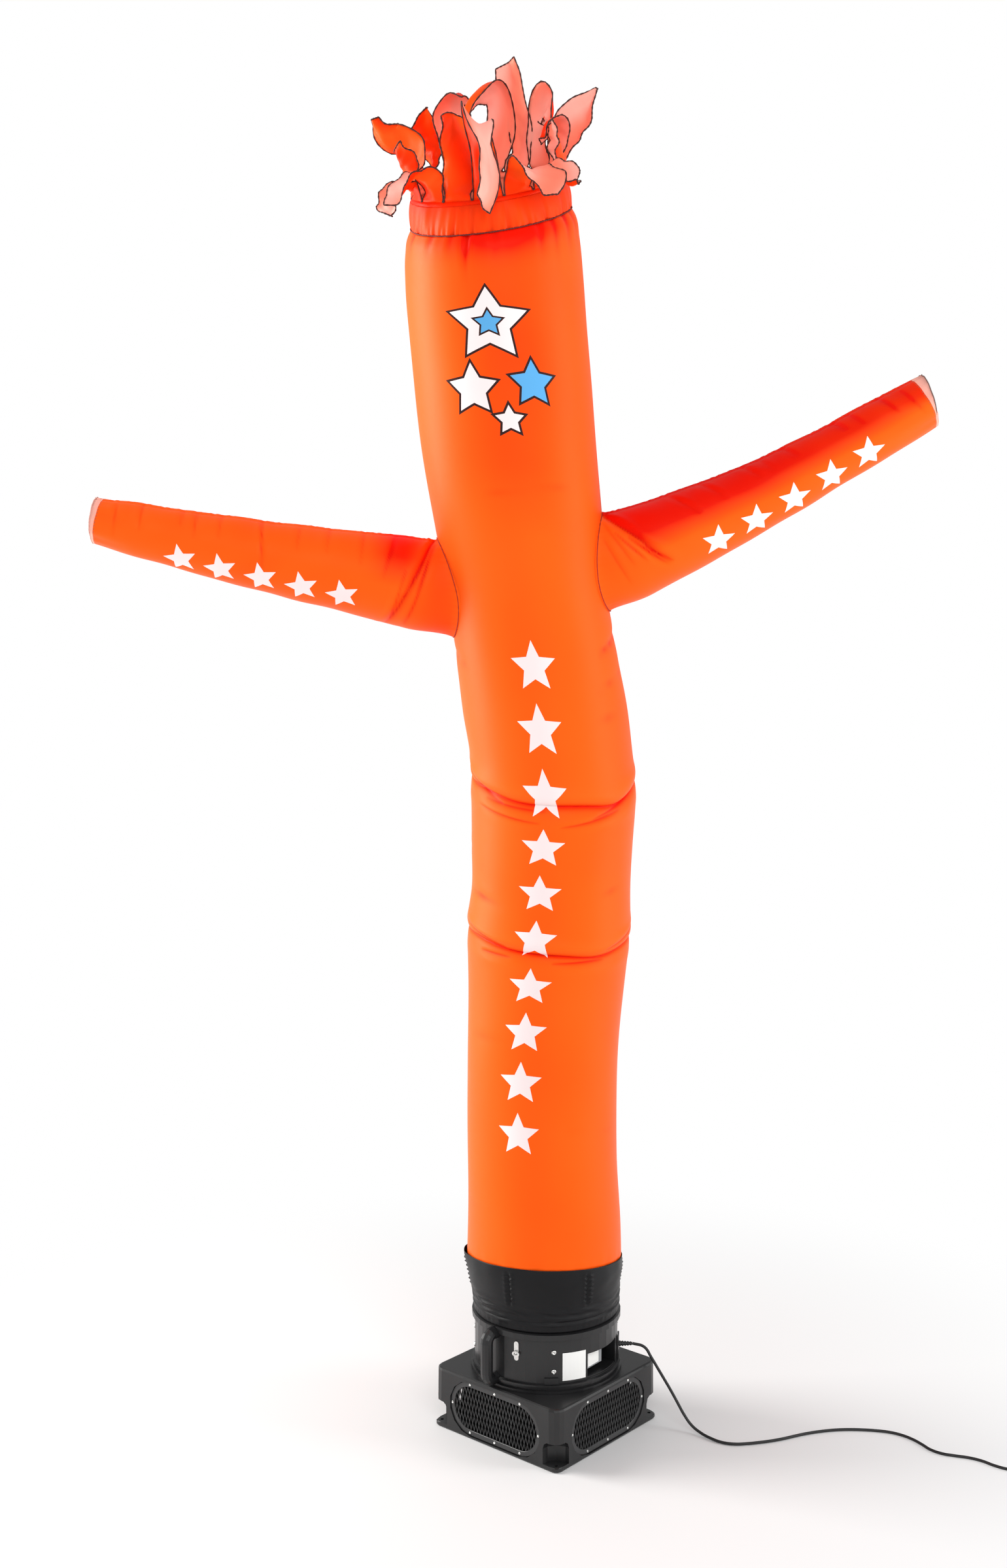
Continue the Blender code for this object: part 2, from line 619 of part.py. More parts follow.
def make_window(material_tray, material_box, material_panel):
    """The open tray behind the window, with a grey equipment box and a pale plain panel in it."""
    frame = drum_frame(WINDOW_MIDDLE, 0.0, 0.0)
    half = WINDOW_WIDTH / 2 - GAP
    low = WINDOW_LOW + GAP
    high = WINDOW_HIGH - GAP
    outline = rectangle(-half, half, low, high)
    front = DRUM_RADIUS + CUT_PAST
    tray = make_object("window_tray", *panel(outline, TRAY_BACK, front, *frame), material_tray, 30)
    w = TRAY_WALL
    inner = rectangle(-half + w, half - w, low + w, high - w)
    cut(tray, make_cutter("cut_tray", *panel(inner, TRAY_BACK + w, front + CUT_PAST, *frame)))
    circle = disc(DRUM_RADIUS - TRAY_SET_BACK, TRAY_FACE_SIDES)
    face = prism(circle, WINDOW_LOW - CUT_PAST, WINDOW_HIGH + CUT_PAST)
    cut(tray, make_cutter("cut_tray_face", *face), "INTERSECT")

    left = -half + w + GAP
    floor = high - w - GAP - BOX_HEIGHT
    box_outline = rectangle(left, left + BOX_WIDTH, floor, floor + BOX_HEIGHT)
    box = panel(box_outline, TRAY_BACK + w + GAP, BOX_FRONT, *frame)
    make_object("control_box", *box, material_box, 30)
    middle = left + BOX_WIDTH / 2
    half_wide = PANEL_WIDTH / 2
    low = floor + PANEL_EDGE
    high = floor + BOX_HEIGHT - PANEL_EDGE
    plain = rectangle(middle - half_wide, middle + half_wide, low, high)
    sheet = panel(plain, BOX_FRONT + GAP, BOX_FRONT + PANEL_THICK, *frame)
    make_object("control_panel", *sheet, material_panel, 30)


def smooth_path(points, count):
    """Points at even steps along a smooth curve through the given ones."""
    given = [np.array(p, float) for p in points]
    ends = [2 * given[0] - given[1]] + given + [2 * given[-1] - given[-2]]
    dense = []
    for i in range(1, len(ends) - 2):
        p0, p1, p2, p3 = ends[i - 1], ends[i], ends[i + 1], ends[i + 2]
        for step in range(24):
            t = step / 24
            dense.append(0.5 * (2 * p1 + (p2 - p0) * t + (2 * p0 - 5 * p1 + 4 * p2 - p3) * t * t
                                + (3 * p1 - p0 - 3 * p2 + p3) * t ** 3))
    dense.append(given[-1])
    dense = np.array(dense)
    walked = np.concatenate([[0.0], np.cumsum(np.linalg.norm(np.diff(dense, axis=0), axis=1))])
    wanted = np.linspace(0, walked[-1], count)
    return [Vector([np.interp(s, walked, dense[:, k]) for k in range(3)]) for s in wanted]


def bar(points, radius, sides, across):
    """A round bar along points that lie in one plane, whose normal is across."""
    rings = []
    for i, point in enumerate(points):
        before = points[max(0, i - 1)]
        after = points[min(len(points) - 1, i + 1)]
        along = (after - before).normalized()
        side = along.cross(across).normalized()
        rings.append([point + radius * (math.cos(2 * math.pi * k / sides) * across
                                        + math.sin(2 * math.pi * k / sides) * side) for k in range(sides)])
    return stack(rings)


def make_handle(material):
    """The upright carrying handle, a round bar bent back to the drum at both ends."""
    origin, across, up, out = drum_frame(HANDLE_AZIMUTH, 0.0, 0.0)
    start = DRUM_RADIUS - HANDLE_BAR / 2
    bend = HANDLE_BEND
    flat = [(start, HANDLE_LOW), (HANDLE_REACH - bend, HANDLE_LOW)]
    for centre, first in ((HANDLE_LOW + bend, -90), (HANDLE_HIGH - bend, 0)):
        for step in range(0, 5):
            angle = math.radians(first + 90 * step / 4)
            flat.append((HANDLE_REACH - bend + bend * math.cos(angle), centre + bend * math.sin(angle)))
    flat += [(start, HANDLE_HIGH)]
    points = []
    for radius, height in flat:
        point = out * radius + up * height
        if not points or (point - points[-1]).length > 1e-5:
            points.append(point)
    handle = make_object("handle", *bar(points, HANDLE_BAR, 12, across), material, 60)
    grown = [(r + GAP, z) for r, z in drum_profile()]
    grown[0] = (grown[0][0], HOUSING_TOP - GAP)
    solid = stack([[(x, y, z) for x, y in disc(r, DRUM_SIDES)] for r, z in grown])
    cut(handle, make_cutter("cut_handle_drum", *solid))
    roof = rectangle(-HOUSING_SIDE, HOUSING_SIDE, -HOUSING_SIDE, HOUSING_SIDE)
    cut(handle, make_cutter("cut_handle_housing", *prism(roof, POCKET_TOP, HOUSING_TOP + GAP)))


def curved_plate(name, azimuth, width, low, high, inner, thick, material, steps=4):
    """A thin plate bent to the drum."""
    half = math.degrees(width / 2 / inner)
    rings = []
    for step in range(steps + 1):
        a = azimuth - half + 2 * half * step / steps
        rings.append([around(a, inner, low), around(a, inner + thick, low),
                      around(a, inner + thick, high), around(a, inner, high)])
    return make_object(name, *stack(rings), material, 30)


def make_fittings(steel, white, black):
    """Screws, latch, blank plate, tab and cord cover on the drum's wall."""
    number = 0
    for quarter in range(4):
        for height in SCREW_HEIGHTS:
            number += 1
            azimuth = SCREW_AZIMUTH + 90 * quarter
            frame = drum_frame(azimuth, DRUM_RADIUS + GAP, height)
            low = [(x, y, 0.0) for x, y in disc(SCREW_RADIUS, 8)]
            high = [(x, y, SCREW_HEAD) for x, y in disc(SCREW_RADIUS * 0.7, 8)]
            verts, faces = stack([low, high])
            make_object("drum_screw_%d" % number, place(verts, *frame), faces, steel, 40)
    frame = drum_frame(LATCH_AZIMUTH, DRUM_RADIUS + GAP, (LATCH_LOW + LATCH_HIGH) / 2)
    height = LATCH_HIGH - LATCH_LOW
    outline = [(y, x) for x, y in oblong(height, LATCH_WIDTH, 5)][::-1]
    make_object("latch_plate", *panel(outline, 0.0, LATCH_THICK, *frame), steel, 30)
    frame = drum_frame(LATCH_AZIMUTH, DRUM_RADIUS + 2 * GAP + LATCH_THICK, STAPLE_HEIGHT)
    rings = []
    for wide, high in (STAPLE_OUTSIDE, STAPLE_INSIDE):
        rings.append([[(wide * x, high * y, z) for x, y in disc(1.0, 12)] for z in (0.0, STAPLE_THICK)])
    verts, faces = sleeve(*rings)
    make_object("latch_staple", place(verts, *frame), faces, steel, 30)
    curved_plate("blank_plate", PLATE_AZIMUTH, PLATE_SIZE[0], PLATE_MIDDLE - PLATE_SIZE[1] / 2,
                 PLATE_MIDDLE + PLATE_SIZE[1] / 2, DRUM_RADIUS + GAP, PLATE_THICK, white, 6)
    curved_plate("drum_tab", TAB_AZIMUTH, TAB_WIDTH, TAB_LOW, TAB_HIGH, DRUM_RADIUS + GAP, TAB_THICK, black)
    curved_plate("cord_cover", COVER_AZIMUTH, COVER_WIDTH, COVER_LOW, COVER_HIGH, DRUM_RADIUS + GAP,
                 COVER_THICK, black)


def relief_start():
    return DRUM_RADIUS + 2 * GAP + COVER_THICK


def make_relief(material):
    """The ribbed, tapered strain relief where the cord leaves the drum."""
    start = relief_start()
    rings = []
    for i in range(RELIEF_RIBS):
        for share, wide in ((0.0, 1.0), (0.55, 1.0), (0.60, 0.78), (0.95, 0.78)):
            along = (i + share) / RELIEF_RIBS
            radius = (RELIEF_RADIUS + (RELIEF_TIP - RELIEF_RADIUS) * along) * wide
            rings.append((start + RELIEF_LENGTH * along, radius))
    rings.append((start + RELIEF_LENGTH, RELIEF_TIP))
    points = [[(x, r * math.cos(2 * math.pi * k / 8), EXIT_HEIGHT + r * math.sin(2 * math.pi * k / 8))
               for k in range(8)] for x, r in rings]
    make_object("strain_relief", *stack(points), material, 30)


def cord_points():
    """The cord's free stretch, from the strain relief's mouth to the coil."""
    mouth = Vector((relief_start() + RELIEF_LENGTH + GAP, 0.0, EXIT_HEIGHT))
    ahead = mouth + Vector((CORD_STRAIGHT, 0.0, 0.0))
    return [mouth] + smooth_path([ahead] + CORD_ROUTE + cord_tail(), CORD_POINTS)


def coil_radii():
    pitch = 2 * CORD_RADIUS + 0.0002
    inner = COIL_TURN - pitch * COIL_TURNS_ACROSS / 2
    outer = COIL_TURN + pitch * COIL_TURNS_ACROSS / 2
    return inner, outer


def cord_tail():
    """The last points before the coil, where the cord runs in along a line that touches it."""
    inner, outer = coil_radii()
    turn = outer - CORD_RADIUS
    heading = math.radians(TAIL_HEADING)
    along = np.array((math.cos(heading), math.sin(heading)))
    left = np.array((-along[1], along[0]))
    touch = np.array(COIL_CENTRE) + left * turn
    edge = math.sqrt((outer + GAP) ** 2 - (turn - CORD_RADIUS) ** 2)
    return [tuple(touch - along * distance) + (CORD_RADIUS + GAP,) for distance in (0.050, edge)]


def make_cord(material):
    data = bpy.data.curves.new("cord", "CURVE")
    data.dimensions = "3D"
    data.bevel_depth = CORD_RADIUS
    data.bevel_resolution = CORD_BEVEL_STEPS
    data.use_fill_caps = True
    spline = data.splines.new("POLY")
    points = cord_points()
    spline.points.add(len(points) - 1)
    for spot, point in zip(spline.points, points):
        spot.co = (*point, 1.0)
    data.materials.append(material)
    item = bpy.data.objects.new("cord", data)
    bpy.context.scene.collection.objects.link(item)


def make_coil(material):
    """The wound rest of the cord, as the outer shape of its turns."""
    inner, outer = coil_radii()
    high = GAP + COIL_LAYERS * 2 * CORD_RADIUS
    bevel = COIL_BEVEL
    outside = [(outer - bevel, GAP), (outer, GAP + bevel), (outer, high - bevel), (outer - bevel, high)]
    inside = [(inner + bevel, high), (inner, high - bevel), (inner, GAP + bevel), (inner + bevel, GAP)]
    verts, faces = turn_profile(outside + inside, COIL_SIDES)
    verts = [(x + COIL_CENTRE[0], y + COIL_CENTRE[1], z) for x, y, z in verts]
    make_object("cord_coil", verts, faces, material, 40)


def make_plug(rubber, brass):
    """A moulded plug with two flat blades and a round pin, lying beside the coil."""
    inner, outer = coil_radii()
    heading = math.radians(PLUG_HEADING)
    along = Vector((math.cos(heading), math.sin(heading), 0.0))
    left = Vector((-along.y, along.x, 0.0))
    turn = outer - CORD_RADIUS
    touch = Vector((*COIL_CENTRE, 0.0)) + left * turn
    start = math.sqrt((outer + GAP) ** 2 - (turn - PLUG_NECK) ** 2)
    # Each section: its distance along, its half width and half height, and the height of its middle
    sections = [(0.000, PLUG_NECK, 0.0048, 0.0052), (0.014, 0.0058, 0.0058, 0.0064),
                (0.018, 0.0125, 0.0100, PLUG_MIDDLE), (0.040, 0.0135, 0.0112, PLUG_MIDDLE),
                (PLUG_LENGTH, 0.0125, 0.0102, PLUG_MIDDLE)]
    rings = []
    for distance, wide, high, height in sections:
        ring = []
        for x, y in rounded_square(2.0, 0.7, 2):
            rise = Vector((0, 0, height + high * y))
            ring.append(touch + along * (start + distance) + left * (wide * x) + rise)
        rings.append(ring)
    make_object("plug", *stack(rings), rubber, 40)
    face = touch + along * (start + PLUG_LENGTH + GAP) + Vector((0, 0, PLUG_MIDDLE))
    up = Vector((0, 0, 1))
    for name, off in (("plug_blade_1", -BLADE_OFF), ("plug_blade_2", BLADE_OFF)):
        outline = rectangle(-0.0008, 0.0008, -0.0032, 0.0032)
        spot = face + left * off + up * 0.0020
        make_object(name, *panel(outline, 0.0, BLADE_LENGTH, spot, left, up, along), brass, 30)
    pin = face - up * 0.0055
    make_object("plug_pin", *panel(disc(0.0024, 8), 0.0, PIN_LENGTH, pin, left, up, along), brass, 30)


def ring_points(row, radius, sides, lobes=None):
    """One ring of a body section; its pinch draws the front in, lobes adds to the radius by azimuth."""
    z, x, y, _, slope_x, slope_y, pinch = row
    points = []
    for i in range(sides):
        angle = 2 * math.pi * i / sides
        azimuth = angle - FRONT
        front = max(0.0, math.cos(azimuth) + 0.35) / 1.35
        reach = radius - pinch * front
        if lobes is not None:
            reach += lobes(azimuth)
        dx = reach * math.cos(angle)
        dy = reach * math.sin(angle)
        points.append((x + dx, y + dy, z + slope_x * dx + slope_y * dy))
    return points


def cloth_sleeve(rows, sides, lobes=None):
    outer = [ring_points(row, row[3], sides, lobes=lobes) for row in rows]
    inner = [ring_points(row, row[3] - CLOTH, sides, lobes=lobes) for row in rows]
    return sleeve(outer, inner)


def arm_rings(rows, shrink, sides=ARM_SIDES):
    """Rings across an arm's middle line; the crease pinches the side that faces front."""
    middles = [Vector(row[:3]) for row in rows]
    rings = []
    for i, row in enumerate(rows):
        before = middles[max(0, i - 1)]
        after = middles[min(len(rows) - 1, i + 1)]
        along = (after - before).normalized()
        back = (Vector((0, 1, 0)) - along * along.y).normalized()
        up = back.cross(along) if along.x < 0 else along.cross(back)
        ring = []
        for k in range(sides):
            angle = 2 * math.pi * k / sides
            reach = row[3] - shrink - row[4] * max(0.0, -math.cos(angle))
            ring.append(middles[i] + reach * (math.cos(angle) * back + math.sin(angle) * up))
        rings.append(ring)
    return rings


def make_body(material):
    """The long body tube, with a hole on each side where an arm opens into it."""
    body = make_object("body_tube", *cloth_sleeve(BODY_RINGS, BODY_SIDES), material, 50)
    for name, rows in (("left", LEFT_ARM), ("right", RIGHT_ARM)):
        inside = arm_rings(rows[:4], CLOTH)
        cut(body, make_cutter("cut_shoulder_" + name, *stack(inside)))
    grown = [ring_points(row, row[3] + GAP, BODY_SIDES) for row in BODY_RINGS[SHOULDER_RINGS]]
    solid = make_cutter("cut_arm_root", *stack(grown))
    for name, rows in (("arm_left", LEFT_ARM), ("arm_right", RIGHT_ARM)):
        arm = make_object(name, *sleeve(arm_rings(rows, 0.0), arm_rings(rows, CLOTH)), material, 50)
        cut(arm, solid)


def band_gather(azimuth):
    return BAND_GATHER_DEPTH * (math.cos(BAND_GATHERS * azimuth + 0.8) + 0.4 * math.cos(7 * azimuth)) / 1.4


def cuff_dart(azimuth):
    """A short stitched tuck at every sixth of the cuff."""
    step = 360 / CUFF_DARTS
    off = (math.degrees(azimuth) - CUFF_DART_AZIMUTH - step / 2) % step - step / 2
    return -CUFF_DART_DEPTH * math.exp(-(off / 5.0) ** 2)


def make_band(material):
    """The gathered band above the head seam."""
    make_object("crown_band", *cloth_sleeve(BAND_RINGS, BAND_SIDES, band_gather), material, 50)


def make_cuff(material):
    """The black cuff; its tucks fade out above the tied hem."""
    outer = []
    inner = []
    for row in CUFF_RINGS:
        share = 1.0 if CUFF_DART_LOW < row[0] < CUFF_DART_HIGH else 0.0
        lobes = (lambda azimuth, share=share: share * cuff_dart(azimuth))
        outer.append(ring_points(row, row[3], CUFF_SIDES, lobes=lobes))
        inner.append(ring_points(row, row[3] - CLOTH, CUFF_SIDES, lobes=lobes))
    make_object("cuff", *sleeve(outer, inner), material, 50)


def hair_point(azimuth, radius, lift):
    """A point on the streamers' ring, which slopes as the head seam does."""
    off = around(azimuth, radius)
    centre = Vector(HAIR_CENTRE)
    rise = HAIR_SLOPES[0] * off.x + HAIR_SLOPES[1] * off.y
    return centre + Vector((off.x, off.y, rise + lift))


def streamer_rings(azimuth, twist, widths, points, root):
    """Four-sided rings along a streamer; the first is its root on the ring's top."""
    root_middle = sum(root, Vector()) / 4
    across = (root[1] - root[0]).normalized()
    wide = (root[1] - root[0]).length / 2
    upright = Vector((-HAIR_SLOPES[0], -HAIR_SLOPES[1], 1.0)).normalized()
    start = [root_middle, root_middle + upright * STREAMER_UPRIGHT]
    path = smooth_path(start + [root_middle + Vector(p) for p in points], STREAMER_STEPS + 1)
    rings = []
    for i, point in enumerate(path[1:], 1):
        before = path[i - 1]
        after = path[min(len(path) - 1, i + 1)]
        along = (after - before).normalized()
        across = (across - along * across.dot(along)).normalized()
        share = i / STREAMER_STEPS
        turn = math.radians(twist) * share
        side = across * math.cos(turn) + along.cross(across) * math.sin(turn)
        normal = along.cross(side).normalized()
        half = wide * float(np.interp(share, np.linspace(0, 1, len(widths)), widths))
        thick = STREAMER_CLOTH / 2
        rings.append([point - side * half - normal * thick, point + side * half - normal * thick,
                      point + side * half + normal * thick, point - side * half + normal * thick])
    return rings


def make_hair(material):
    """The narrow ring of cloth and the strips that rise from it, as one body."""
    verts = []
    faces = []
    stations = []
    for entry in sorted(STREAMERS, key=lambda item: item[1]):
        for side in (-1, 1):
            stations.append((entry[1] + side * HAIR_HALF_ANGLE, entry if side < 0 else None))
    inner = HAIR_RADIUS - STREAMER_CLOTH
    for azimuth, _ in stations:
        verts += [hair_point(azimuth, HAIR_RADIUS, 0.0), hair_point(azimuth, inner, 0.0),
                  hair_point(azimuth, HAIR_RADIUS, HAIR_HEIGHT), hair_point(azimuth, inner, HAIR_HEIGHT)]
    count = len(stations)
    for i, (_, entry) in enumerate(stations):
        a = 4 * i
        b = 4 * ((i + 1) % count)
        faces += [(a, b, b + 2, a + 2), (b + 1, a + 1, a + 3, b + 3), (b, a, a + 1, b + 1)]
        if entry is None:
            faces.append((a + 2, b + 2, b + 3, a + 3))
            continue
        base = (a + 2, b + 2, b + 3, a + 3)
        for ring in streamer_rings(entry[1], entry[2], entry[3], entry[4], [verts[k] for k in base]):
            start = len(verts)
            verts += ring
            above = (start, start + 1, start + 2, start + 3)
            faces += [(base[0], base[1], above[1]), (base[0], above[1], above[0]),
                      (base[1], base[2], above[2], above[1]),
                      (base[2], base[3], above[2]), (base[3], above[3], above[2]),
                      (base[3], base[0], above[0], above[3])]
            base = above
        faces.append(base)
    make_object("streamers", verts, faces, material, 30)


def main():
    clear_scene()
    orange = make_material("orange_nylon", (1.0, 0.12, 0.012), 0.45)
    black_cloth = make_material("black_nylon", (0.012, 0.012, 0.014), 0.6)
    plastic = make_material("black_plastic", (0.018, 0.018, 0.02), 0.38)
    steel = make_material("zinc_steel", (0.72, 0.72, 0.70), 0.3, 1.0)
    grey = make_material("grey_metal", (0.28, 0.29, 0.30), 0.5, 0.4)
    white = make_material("white_plate", (0.85, 0.85, 0.84), 0.5)
    rubber = make_material("black_rubber", (0.012, 0.012, 0.012), 0.55)
    brass = make_material("brass", (0.75, 0.58, 0.28), 0.3, 1.0)

    make_housing(plastic)
    for turn, name in enumerate(("grille_front_right", "grille_back_right", "grille_back_left",
                                 "grille_front_left")):
        make_grille(turn, name, plastic)
    make_drum(plastic)
    make_window(plastic, grey, white)
    make_handle(plastic)
    make_fittings(steel, white, plastic)
    make_relief(rubber)
    make_cord(rubber)
    make_coil(rubber)
    make_plug(rubber, brass)
    make_cuff(black_cloth)
    make_body(orange)
    make_band(orange)
    make_hair(orange)


main()
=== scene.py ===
"""The looks of an inflatable air dancer standing on its blower, around its solids.

Frame: +Z up, the origin on the floor under the middle of the drum, the dancer's front towards -Y.
Sizes are in metres. An azimuth is an angle around the drum from the front, positive towards +X.
"""

import math

import bmesh
import bpy
import numpy as np
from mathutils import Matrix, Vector


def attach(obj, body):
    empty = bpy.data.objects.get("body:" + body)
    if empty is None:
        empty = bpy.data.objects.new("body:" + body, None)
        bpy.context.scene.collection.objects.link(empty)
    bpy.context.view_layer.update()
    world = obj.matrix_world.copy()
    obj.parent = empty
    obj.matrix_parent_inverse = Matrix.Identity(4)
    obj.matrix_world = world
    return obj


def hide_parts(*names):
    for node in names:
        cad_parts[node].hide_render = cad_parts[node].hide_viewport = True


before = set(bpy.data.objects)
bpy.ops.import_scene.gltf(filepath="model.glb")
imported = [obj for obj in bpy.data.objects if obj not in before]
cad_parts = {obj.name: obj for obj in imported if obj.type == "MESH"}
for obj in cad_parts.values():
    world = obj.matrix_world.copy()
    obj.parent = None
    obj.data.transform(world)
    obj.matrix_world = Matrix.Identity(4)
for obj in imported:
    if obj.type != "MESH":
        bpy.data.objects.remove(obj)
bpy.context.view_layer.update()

GAP = 0.0003
CLOTH_THICK = 0.0005
TAU = 2 * math.pi
FRONT = -math.pi / 2


# Node materials: arithmetic on sockets


class Value:
    """A socket or a number that can be added, multiplied and compared inside a material."""

    tree = None

    def __init__(self, source):
        self.source = source

    def math(self, operation, other=0.0):
        node = Value.tree.nodes.new("ShaderNodeMath")
        node.operation = operation
        for i, item in enumerate((self, other)):
            item = item.source if isinstance(item, Value) else item
            if isinstance(item, (int, float)):
                node.inputs[i].default_value = item
            else:
                Value.tree.links.new(item, node.inputs[i])
        return Value(node.outputs[0])

    def __add__(self, other):
        return self.math("ADD", other)

    def __sub__(self, other):
        return self.math("SUBTRACT", other)

    def __mul__(self, other):
        return self.math("MULTIPLY", other)

    def __truediv__(self, other):
        return self.math("DIVIDE", other)

    def less(self, other):
        return self.math("LESS_THAN", other)

    def more(self, other):
        return self.math("GREATER_THAN", other)

    def abs(self):
        return self.math("ABSOLUTE")

    def least(self, other):
        return self.math("MINIMUM", other)

    def most(self, other):
        return self.math("MAXIMUM", other)


def node(kind, **settings):
    made = Value.tree.nodes.new(kind)
    for key, value in settings.items():
        setattr(made, key, value)
    return made


def link(source, target):
    source = source.source if isinstance(source, Value) else source
    Value.tree.links.new(source, target)


def new_material(name):
    material = bpy.data.materials.new(name)
    material.use_nodes = True
    Value.tree = material.node_tree
    return material, material.node_tree.nodes["Principled BSDF"]


def noise(scale):
    """A noise on object coordinates."""
    made = node("ShaderNodeTexNoise")
    made.inputs["Scale"].default_value = scale
    link(node("ShaderNodeTexCoord").outputs["Object"], made.inputs["Vector"])
    return Value(made.outputs["Fac"])


def ramp(factor, stops):
    made = node("ShaderNodeValToRGB")
    while len(made.color_ramp.elements) < len(stops):
        made.color_ramp.elements.new(0.5)
    for element, (position, colour) in zip(made.color_ramp.elements, stops):
        element.position = position
        element.color = (*colour, 1.0)
    link(factor, made.inputs["Fac"])
    return made.outputs["Color"]


def mix(factor, first, second):
    made = node("ShaderNodeMix", data_type="RGBA")
    link(factor, made.inputs["Factor"])
    for socket, colour in ((made.inputs["A"], first), (made.inputs["B"], second)):
        if isinstance(colour, tuple):
            socket.default_value = (*colour, 1.0)
        else:
            link(colour, socket)
    return made.outputs["Result"]


def bump(height, strength, distance):
    made = node("ShaderNodeBump")
    made.inputs["Strength"].default_value = strength
    made.inputs["Distance"].default_value = distance
    link(height, made.inputs["Height"])
    return made.outputs["Normal"]


def blend_shaders(factor, first, second, output):
    """Two shaders mixed by a number or a socket, into the named output."""
    both = node("ShaderNodeMixShader")
    if isinstance(factor, float):
        both.inputs["Fac"].default_value = factor
    else:
        link(factor, both.inputs["Fac"])
    link(first, both.inputs[1])
    link(second, both.inputs[2])
    link(both.outputs["Shader"], Value.tree.nodes[output].inputs["Surface"])


def plastic_material(name, colour, light, rough, grain=900.0, depth=0.25):
    """Moulded plastic or rubber: a fine grain, faint clouding, and roughness that varies."""
    material, shader = new_material(name)
    cloud = noise(9.0)
    fine = noise(grain)
    link(ramp(cloud, [(0.30, colour), (0.75, light)]), shader.inputs["Base Color"])
    link(cloud * 0.14 + fine * 0.10 + (rough - 0.12), shader.inputs["Roughness"])
    link(bump(fine, depth, 0.0004), shader.inputs["Normal"])
    shader.inputs["Specular IOR Level"].default_value = 0.42
    return material


def metal_material(name, colour, rough):
    material, shader = new_material(name)
    cloud = noise(160.0)
    darker = tuple(0.72 * c for c in colour)
    link(ramp(cloud, [(0.25, darker), (0.7, colour)]), shader.inputs["Base Color"])
    link(cloud * 0.22 + rough, shader.inputs["Roughness"])
    shader.inputs["Metallic"].default_value = 1.0
    return material


def flat_coordinates():
    """Where a point of the cloth lies when it is laid flat."""
    split = node("ShaderNodeSeparateXYZ")
    link(node("ShaderNodeUVMap", uv_map="flat").outputs["UV"], split.inputs[0])
    return Value(split.outputs["X"]), Value(split.outputs["Y"])


def weave(strength):
    """The fine weave of the nylon, as a bump on the cloth's own flat coordinates."""
    u, v = flat_coordinates()
    return bump((u * WEAVE_FINENESS).math("SINE") * (v * WEAVE_FINENESS).math("SINE"), strength, 0.0002)


def cloth_material(name, colour, deep, pale, rough=0.44, through=0.0, painted_glow=0.0):
    """Nylon cloth: its depth attribute paints shade in folds with the deep colour and paints light on crowns
    with the pale colour.

    through is the share of light that passes; the last argument is an emission that paints, as a glow, the
    light scattered inside thin strips."""
    material, shader = new_material(name)
    depth = node("ShaderNodeAttribute", attribute_name="depth").outputs["Fac"]
    cloud = noise(5.0)
    tint = ramp(Value(depth) + (cloud - 0.5) * 0.10, [(0.10, deep), (0.5, colour), (0.95, pale)])
    link(tint, shader.inputs["Base Color"])
    link(weave(0.18), shader.inputs["Normal"])
    link(cloud * 0.08 + (rough - 0.04), shader.inputs["Roughness"])
    shader.inputs["Specular IOR Level"].default_value = 0.15
    shader.inputs["Specular Tint"].default_value = (1.0, 0.55, 0.28, 1.0)
    # An emission of the tint: a painted glow, off where its strength is zero.
    link(tint, shader.inputs["Emission Color"])
    shader.inputs["Emission Strength"].default_value = painted_glow
    if through:
        pass_light = node("ShaderNodeBsdfTranslucent")
        link(tint, pass_light.inputs["Color"])
        blend_shaders(through, shader.outputs["BSDF"], pass_light.outputs["BSDF"], "Material Output")
    return material, shader, tint


def inside_material(name):
    """The paler orange of the cloth's inside, with painted shade in its folds."""
    return cloth_material(name + "_inside", SALMON, PAINTED_SHADE_RED, SALMON)[0]


ORANGE = (1.0, 0.105, 0.006)
# Painted shade: the deep red put in folds and shaded places; painted light: the paler orange put on crowns
# and lit sides.
PAINTED_SHADE_RED = (0.8, 0.006, 0.001)
PAINTED_LIGHT_ORANGE = (1.0, 0.17, 0.02)
SALMON = (0.9, 0.26, 0.15)
PRINT_WHITE = (0.9, 0.77, 0.77)
PRINT_DARK = (0.03, 0.014, 0.016)
PRINT_BLUE = (0.1, 0.38, 0.72)
WEAVE_FINENESS = 3600.0
STAR_POINTS = 5


def star_edge(x, y, inner=0.46):
    """How far a point lies from the middle, as a share of the way to the star's edge."""
    reach = (x * x + y * y).math("POWER", 0.5)
    half = math.pi / STAR_POINTS
    angle = (x.math("ARCTAN2", y) + TAU).math("PINGPONG", half)
    tip = (1.0, 0.0)
    dent = (inner * math.cos(half), inner * math.sin(half))
    normal = (dent[1], tip[0] - dent[0])
    offset = normal[0] * tip[0]
    return reach * (angle.math("COSINE") * normal[0] + angle.math("SINE") * normal[1]) / offset


def star_row(u, v, first, pitch, count, middle, lean, radius):
    """A mask of plain stars in a row along v, whose middles drift sideways by lean."""
    cell = (v - first) / pitch + 0.5
    index = cell.math("FLOOR")
    y = (cell - index - 0.5) * pitch
    x = u - (index * (pitch * lean) + middle)
    inside = star_edge(x, y).less(radius)
    return inside * index.more(-0.5) * index.less(count - 0.5)


def printed(tint, layers):
    """Colours laid over a tint, each where its mask is one."""
    for mask, colour in layers:
        tint = mix(mask, tint, colour)
    return tint


# Smooth tables and cloth grids


def table_at(rows, at, column):
    """A column of a table, smoothly interpolated over its first column."""
    x = np.array([row[0] for row in rows])
    y = np.array([row[column] for row in rows])
    slope = np.gradient(y, x)
    at = np.clip(at, x[0], x[-1])
    i = np.clip(np.searchsorted(x, at, side="right") - 1, 0, len(x) - 2)
    h = x[i + 1] - x[i]
    t = (at - x[i]) / h
    return ((1 + 2 * t) * (1 - t) ** 2 * y[i] + t * (1 - t) ** 2 * h * slope[i]
            + t * t * (3 - 2 * t) * y[i + 1] + t * t * (t - 1) * h * slope[i + 1])


